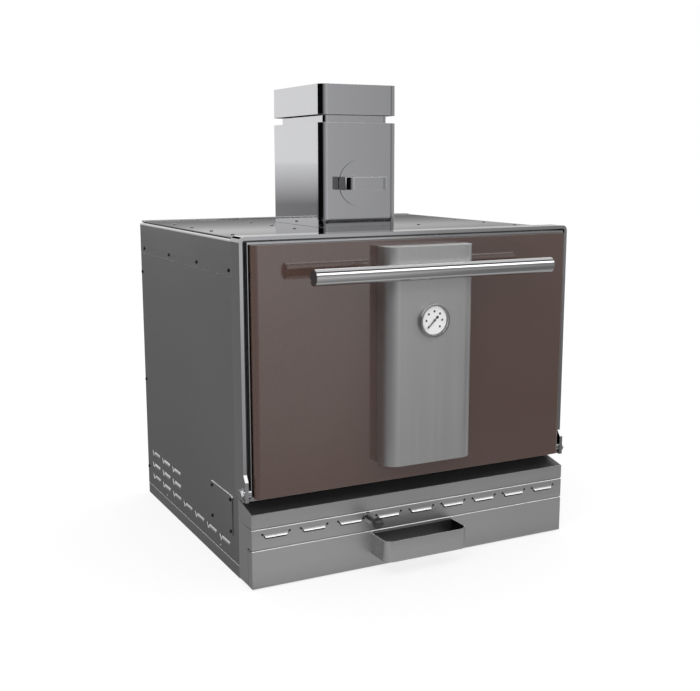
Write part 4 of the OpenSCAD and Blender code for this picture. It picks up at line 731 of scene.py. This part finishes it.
# sheared and folded edges are slightly rounded, so that they catch the light
edgeWork = {"merge": 0.00002, "flat": 0.4, "sharp": 34, "segments": 2, "evenness": 80}
softEdges = {
    0.0006: ["left_side_panel", "right_side_panel", "base_pan", "left_top_rail",
             "right_top_rail", "vent_panel", "drawer_front", "fascia", "ledge", "top_plate",
             "centre_panel", "flue_box", "flue_hood", "door_back_plate"],
    0.0012: ["damper_handle", "door_front_panel"],
}
for width, members in softEdges.items():
    for member in members:
        stack = cadNodes[member].modifiers
        stack.new("merge", "WELD").merge_threshold = edgeWork["merge"]
        plane = stack.new("plane", "DECIMATE")
        plane.decimate_type = "DISSOLVE"
        plane.angle_limit = math.radians(edgeWork["flat"])
        rounding = stack.new("softEdge", "BEVEL")
        rounding.width = width
        rounding.segments = edgeWork["segments"]
        rounding.limit_method = "ANGLE"
        rounding.angle_limit = math.radians(edgeWork["sharp"])
        stack.new("evenShading", "WEIGHTED_NORMAL").weight = edgeWork["evenness"]


# ---- pieces

def placeKey(point):
    return tuple(round(number, 5) for number in point)


def settled(shaped):
    # points and faces in an order that is the same each run, which bmesh doesn't keep
    points = sorted(shaped.verts, key=lambda vert: placeKey(vert.co))
    order = {vert: i for i, vert in enumerate(points)}
    rings = []
    for face in shaped.faces:
        ring = [order[vert] for vert in face.verts]
        first = ring.index(min(ring))
        rings.append(ring[first:] + ring[:first])
    return [tuple(vert.co) for vert in points], sorted(rings)


def smoothByAngle(data, degrees):
    shaped = bmesh.new()
    shaped.from_mesh(data)
    for face in shaped.faces:
        face.smooth = True
    limit = math.radians(degrees)
    for edge in shaped.edges:
        edge.smooth = len(edge.link_faces) == 2 and edge.calc_face_angle(0) < limit
    shaped.to_mesh(data)
    shaped.free()


def pieceFrom(shaped, name, body, finish, replaced=(), smooth=None):
    data = bpy.data.meshes.new(name)
    bmesh.ops.recalc_face_normals(shaped, faces=shaped.faces)
    points, rings = settled(shaped)
    data.from_pydata(points, [], rings)
    shaped.free()
    made = bpy.data.objects.new(name, data)
    scene.collection.objects.link(made)
    data.materials.append(finishes[finish])
    if smooth is not None:
        smoothByAngle(data, smooth)
    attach(made, body)
    if replaced:
        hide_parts(*replaced)
    return made


def islandsOf(nodeName):
    # the separate solids of a node, each as a list of points, both sorted by place
    shaped = bmesh.new()
    shaped.from_mesh(cadNodes[nodeName].data)
    bmesh.ops.remove_doubles(shaped, verts=shaped.verts, dist=0.00001)
    seen, found = set(), []
    for start in shaped.verts:
        if start in seen:
            continue
        seen.add(start)
        queue, island = [start], []
        while queue:
            point = queue.pop()
            island.append(point.co.copy())
            for edge in point.link_edges:
                other = edge.other_vert(point)
                if other not in seen:
                    seen.add(other)
                    queue.append(other)
        found.append(sorted(island, key=placeKey))
    shaped.free()
    return sorted(found, key=lambda island: placeKey(island[0]))


# domed screws with a cross recess
screwShape = {"headRadius": 0.004, "headHeight": 0.002, "shankRadius": 0.002,
              "recess": 0.0019, "recessDepth": 0.0011, "crown": 0.62,
              "dome": ((0.88, 0.62), (1.0, 0.3), (1.0, 0.0)), "taper": 0.8, "shankLap": 0.0002,
              "shoulder": 0.9, "armSpread": 0.9, "armBand": 0.2,
              "spinStep": 0.7, "smallSize": 0.75}


def screwSeat(island):
    # seat point, outward axis and shank length of one CAD screw
    low = Vector([min(p[i] for p in island) for i in range(3)])
    high = Vector([max(p[i] for p in island) for i in range(3)])
    span = high - low
    pairs = [(abs(span[(i + 1) % 3] - span[(i + 2) % 3]), i) for i in range(3)]
    axis = min(pairs)[1]
    middle = (low + high) / 2
    wide = max((p for p in island), key=lambda p: sum(
        (p[i] - middle[i]) ** 2 for i in range(3) if i != axis))
    sign = 1 if wide[axis] > middle[axis] else -1
    outward = Vector((0, 0, 0))
    outward[axis] = sign
    seat = middle.copy()
    seat[axis] = wide[axis]
    return seat, outward, abs(wide[axis] - (low[axis] if sign > 0 else high[axis]))


def addScrew(shaped, seat, outward, shank, size=1.0, spin=0.0):
    one = bmesh.new()
    bmesh.ops.create_grid(one, x_segments=3, y_segments=3, size=1.0)
    radius, height = screwShape["headRadius"] * size, screwShape["headHeight"] * size
    recess = screwShape["recess"] * size
    for vert in one.verts:
        ring = max(abs(vert.co.x), abs(vert.co.y)) > 0.5
        if ring:
            flatPart = vert.co.xy.normalized() * radius * screwShape["crown"]
            vert.co = (flatPart.x, flatPart.y, height * screwShape["shoulder"])
        else:
            reach = recess * screwShape["armSpread"]
            vert.co = (vert.co.x * reach, vert.co.y * reach, height)
    one.faces.ensure_lookup_table()
    armLimit = recess * screwShape["armBand"]
    crossFaces = [f for f in one.faces if min(abs(f.calc_center_median().x),
                                              abs(f.calc_center_median().y)) < armLimit]
    edge = [e for e in one.edges if e.is_boundary]
    for share, drop in screwShape["dome"]:
        grown = bmesh.ops.extrude_edge_only(one, edges=edge)["geom"]
        points = [g for g in grown if isinstance(g, bmesh.types.BMVert)]
        for vert in points:
            flatPart = vert.co.xy.normalized() * radius * share
            vert.co = (flatPart.x, flatPart.y, height * drop)
        edge = [g for g in grown if isinstance(g, bmesh.types.BMEdge)]
    sunk = bmesh.ops.extrude_face_region(one, geom=crossFaces)["geom"]
    bmesh.ops.delete(one, geom=crossFaces, context="FACES_ONLY")
    deepVerts = [g for g in sunk if isinstance(g, bmesh.types.BMVert)]
    bmesh.ops.translate(one, verts=deepVerts, vec=(0, 0, -screwShape["recessDepth"] * size))
    bmesh.ops.scale(one, verts=deepVerts, vec=(screwShape["taper"], screwShape["taper"], 1))
    bmesh.ops.create_cone(one, cap_ends=True, segments=8, radius1=screwShape["shankRadius"] * size,
                          radius2=screwShape["shankRadius"] * size, depth=shank,
                          matrix=Matrix.Translation(
                              (0, 0, screwShape["shankLap"] - shank / 2)))
    turn = outward.to_track_quat("Z", "Y").to_matrix().to_4x4()
    bmesh.ops.transform(one, verts=one.verts,
                        matrix=Matrix.Translation(seat) @ turn @ Matrix.Rotation(spin, 4, "Z"))
    holder = bpy.data.meshes.new("screwHolder")
    one.to_mesh(holder)
    one.free()
    shaped.from_mesh(holder)
    bpy.data.meshes.remove(holder)


topScrews, wallScrews, surroundScrews = bmesh.new(), bmesh.new(), bmesh.new()
for count, island in enumerate(islandsOf("casing_screws")):
    seat, outward, shank = screwSeat(island)
    addScrew(topScrews if outward.z > 0.5 else wallScrews, seat, outward, shank,
             spin=count * screwShape["spinStep"])
for count, island in enumerate(islandsOf("surround_screws")):
    addScrew(surroundScrews, *screwSeat(island), size=screwShape["smallSize"],
             spin=count * screwShape["spinStep"])
pieceFrom(topScrews, "topScrewSet", "oven_body", "boltChrome", ("casing_screws",),
          35)
pieceFrom(wallScrews, "wallScrewSet", "oven_body", "blackScrew", (), 35)
pieceFrom(surroundScrews, "surroundScrewSet", "oven_body", "blackScrew", ("surround_screws",),
          35)
print("screws made")


# turned-up rear edge of the top sheet
rearLap = {"depth": 0.022, "height": 0.0016, "bevel": 0.0004}
sheetLow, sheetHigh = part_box("top_plate")


def addBlock(shaped, low, high, bevel=0.0):
    size = Vector(high) - Vector(low)
    made = bmesh.ops.create_cube(shaped, size=1.0, matrix=Matrix.Translation(
        (Vector(high) + Vector(low)) / 2) @ Matrix.Diagonal((*size, 1)))
    if bevel:
        edges = list({e for v in made["verts"] for e in v.link_edges})
        bmesh.ops.bevel(shaped, geom=edges, offset=bevel, affect="EDGES", segments=2,
                        profile=0.5, material=-1)
    return made["verts"]


shaped = bmesh.new()
addBlock(shaped, (sheetLow.x, sheetHigh.y - rearLap["depth"], sheetHigh.z),
         (sheetHigh.x, sheetHigh.y, sheetHigh.z + rearLap["height"]), rearLap["bevel"])
pieceFrom(shaped, "rearTopLap", "oven_body", "topSheet", smooth=30)

# painted shade: dark pieces that fill the slots on the bends of the surround, where there is only
# shade
slotShade = {"corner": 0.010, "turn": 37, "width": 0.0048, "thick": 0.0010, "under": 0.0001,
            "start": 0.0117, "length": 0.0370}
hoodLow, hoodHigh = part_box("front_surround")
shaped = bmesh.new()
for side in (-1, 1):
    reach = slotShade["corner"] - slotShade["under"]
    points = addBlock(shaped, (-slotShade["width"] / 2, hoodLow.y + slotShade["start"],
                               reach - slotShade["thick"]),
                      (slotShade["width"] / 2,
                       hoodLow.y + slotShade["start"] + slotShade["length"], reach))
    bmesh.ops.transform(shaped, verts=points, matrix=Matrix.Translation(
        (side * (hoodHigh.x - slotShade["corner"]), 0, hoodHigh.z - slotShade["corner"]))
        @ Matrix.Rotation(math.radians(side * slotShade["turn"]), 4, "Y"))
pieceFrom(shaped, "surroundSlotShade", "oven_body", "slotShadeBlack")
print("edge trims made")


# hexagon bolts with a washer flange, which carry the door
hingeBolt = {"pin": 0.004, "flange": 0.0115, "flangeThick": 0.0018, "hex": 0.0096,
             "hexHeight": 0.005, "bevel": 0.0006}
boltLow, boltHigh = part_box("hinge_bolts")
hingeLine = (boltLow + boltHigh) / 2
shaped = bmesh.new()
for side in (-1, 1):
    seatX = boltHigh.x - hingeBolt["hexHeight"] - hingeBolt["flangeThick"]
    pinLength = seatX - min(abs(p.x) for island in islandsOf("hinge_bolts") for p in island)
    stages = (
        (hingeBolt["pin"], pinLength, seatX - pinLength / 2, 24, 0),
        (hingeBolt["flange"], hingeBolt["flangeThick"],
         seatX + hingeBolt["flangeThick"] / 2, 40, 0.4),
        (hingeBolt["hex"], hingeBolt["hexHeight"],
         seatX + hingeBolt["flangeThick"] + hingeBolt["hexHeight"] / 2, 6, 1.0),
    )
    for radius, depth, middle, segments, rounding in stages:
        made = bmesh.ops.create_cone(
            shaped, cap_ends=True, segments=segments, radius1=radius, radius2=radius, depth=depth,
            matrix=Matrix.Translation((side * middle, hingeLine.y, hingeLine.z))
            @ Matrix.Rotation(side * math.pi / 2, 4, "Y"))
        if rounding:
            rim = {e for v in made["verts"] for e in v.link_edges
                   if all((p.co.x * side) > middle for p in e.verts)}
            bmesh.ops.bevel(shaped, geom=list(rim), offset=hingeBolt["bevel"] * rounding,
                            affect="EDGES", segments=3, profile=0.5, material=-1)
pieceFrom(shaped, "hingeBoltPair", "oven_body", "boltChrome", ("hinge_bolts",),
          30)
print("hinge bolts made")


# twisted rope seal round the door's plug
ropeSeal = {"strands": 3, "pitch": 0.021, "stepsPerTurn": 9, "corner": 0.017, "sides": 2,
            "strandShare": 0.47, "cornerSteps": 12}
sealLow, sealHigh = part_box("door_seal")
ropeRadius = (sealHigh.y - sealLow.y) / 2
strandRadius = ropeRadius * ropeSeal["strandShare"]


def roundedLoop(halfWidth, low, high, corner, step):
    # evenly spaced points round a rounded rectangle, with their outward directions
    lines, places = [], []
    corners = [(halfWidth - corner, high - corner, 0), (-halfWidth + corner, high - corner, 90),
               (-halfWidth + corner, low + corner, 180), (halfWidth - corner, low + corner, 270)]
    for x, z, start in corners:
        for k in range(ropeSeal["cornerSteps"] + 1):
            angle = math.radians(start + 90 / ropeSeal["cornerSteps"] * k)
            lines.append(Vector((x + corner * math.cos(angle), z + corner * math.sin(angle))))
    total = sum((lines[i] - lines[i - 1]).length for i in range(len(lines)))
    count = round(total / step)
    spacing, walked, want = total / count, 0.0, 0.0
    for i in range(len(lines)):
        start, end = lines[i], lines[(i + 1) % len(lines)]
        length = (end - start).length
        while want < walked + length - 1e-9 and len(places) < count:
            along = (end - start).normalized()
            places.append((start + along * (want - walked), Vector((along.y, -along.x))))
            want += spacing
        walked += length
    return places, total


rope = bpy.data.curves.new("ropeSeal", "CURVE")
rope.dimensions = "3D"
rope.bevel_depth = strandRadius
rope.bevel_resolution = ropeSeal["sides"]
rope.resolution_u = 1
stepLength = ropeSeal["pitch"] / ropeSeal["stepsPerTurn"]
loop, loopLength = roundedLoop(sealHigh.x - ropeRadius, sealLow.z + ropeRadius,
                               sealHigh.z - ropeRadius, ropeSeal["corner"], stepLength)
turnCount = round(loopLength / ropeSeal["pitch"])
middleY = (sealLow.y + sealHigh.y) / 2
for strand in range(ropeSeal["strands"]):
    line = rope.splines.new("POLY")
    line.points.add(len(loop) - 1)
    line.use_cyclic_u = True
    for i, (spot, outward) in enumerate(loop):
        twist = 2 * math.pi * (turnCount * i / len(loop) + strand / ropeSeal["strands"])
        reach = ropeRadius - strandRadius
        offset = outward * reach * math.cos(twist)
        line.points[i].co = (spot.x + offset.x, middleY + reach * math.sin(twist),
                             spot.y + offset.y, 1)
ropeObject = bpy.data.objects.new("ropeSeal", rope)
scene.collection.objects.link(ropeObject)
rope.materials.append(finishes["ropeFibre"])
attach(ropeObject, "door")
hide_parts("door_seal")
print("rope seal made,", turnCount, "turns")


# dial marks and needle of the thermometer
gauge = {"markRadius": 0.0168, "markSize": 0.0022, "marks": 7, "firstMark": -135,
         "markStep": 45, "markLift": 0.00015, "tip": 0.0004, "waist": 0.0008,
         "stalk": 0.0007, "pin": 0.0006, "hubShare": 1.6,
         "restAngle": 225, "reach": 0.0208, "bulgeAt": 0.0060, "bulge": 0.0011,
         "tail": 0.0080, "weight": 0.0027, "hub": 0.0021, "thick": 0.0008}
dialLow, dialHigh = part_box("thermometer_dial")
dialMiddle = (dialLow + dialHigh) / 2
shaped = bmesh.new()
for i in range(gauge["marks"]):
    angle = math.radians(gauge["firstMark"] + gauge["markStep"] * i)
    spot = (dialMiddle.x + gauge["markRadius"] * math.sin(angle),
            dialLow.y - gauge["markLift"] / 2,
            dialMiddle.z + gauge["markRadius"] * math.cos(angle))
    bmesh.ops.create_cone(shaped, cap_ends=True, segments=20, radius1=gauge["markSize"],
                          radius2=gauge["markSize"], depth=gauge["markLift"],
                          matrix=Matrix.Translation(spot) @ Matrix.Rotation(math.pi / 2, 4, "X"))
pieceFrom(shaped, "dialMarks", "door", "needleBlack", smooth=30)

needleLow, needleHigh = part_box("thermometer_needle")
shaped = bmesh.new()
rightSide = [(gauge["tip"], gauge["reach"]), (gauge["bulge"], gauge["bulgeAt"]),
             (gauge["waist"], 0.0), (gauge["stalk"], -gauge["tail"])]
outline = [(-gauge["tip"], gauge["reach"]), *rightSide,
           *((-x, z) for x, z in reversed(rightSide[1:]))]
blade = shaped.faces.new([shaped.verts.new((x, 0, z)) for x, z in outline])
raised = bmesh.ops.extrude_face_region(shaped, geom=[blade])["geom"]
bmesh.ops.translate(shaped, verts=[g for g in raised if isinstance(g, bmesh.types.BMVert)],
                    vec=(0, gauge["thick"], 0))
for radius, z, thick in ((gauge["weight"], -gauge["tail"], gauge["thick"]),
                         (gauge["hub"], 0.0, gauge["thick"] * gauge["hubShare"])):
    bmesh.ops.create_cone(shaped, cap_ends=True, segments=24, radius1=radius, radius2=radius,
                          depth=thick, matrix=Matrix.Translation((0, gauge["thick"] / 2, z))
                          @ Matrix.Rotation(math.pi / 2, 4, "X"))
needleDepth = needleHigh.y - needleLow.y
bmesh.ops.create_cone(shaped, cap_ends=True, segments=12,
                      radius1=gauge["pin"], radius2=gauge["pin"],
                      depth=needleDepth - gauge["thick"] / 2,
                      matrix=Matrix.Translation((0, needleDepth / 2 + gauge["thick"] / 4, 0))
                      @ Matrix.Rotation(math.pi / 2, 4, "X"))
bmesh.ops.transform(shaped, verts=shaped.verts, matrix=Matrix.Translation(
    (dialMiddle.x, needleLow.y, dialMiddle.z))
    @ Matrix.Rotation(math.radians(gauge["restAngle"]), 4, "Y"))
pieceFrom(shaped, "gaugeNeedle", "gauge_needle", "needleBlack", ("thermometer_needle",),
          30)
print("thermometer made")
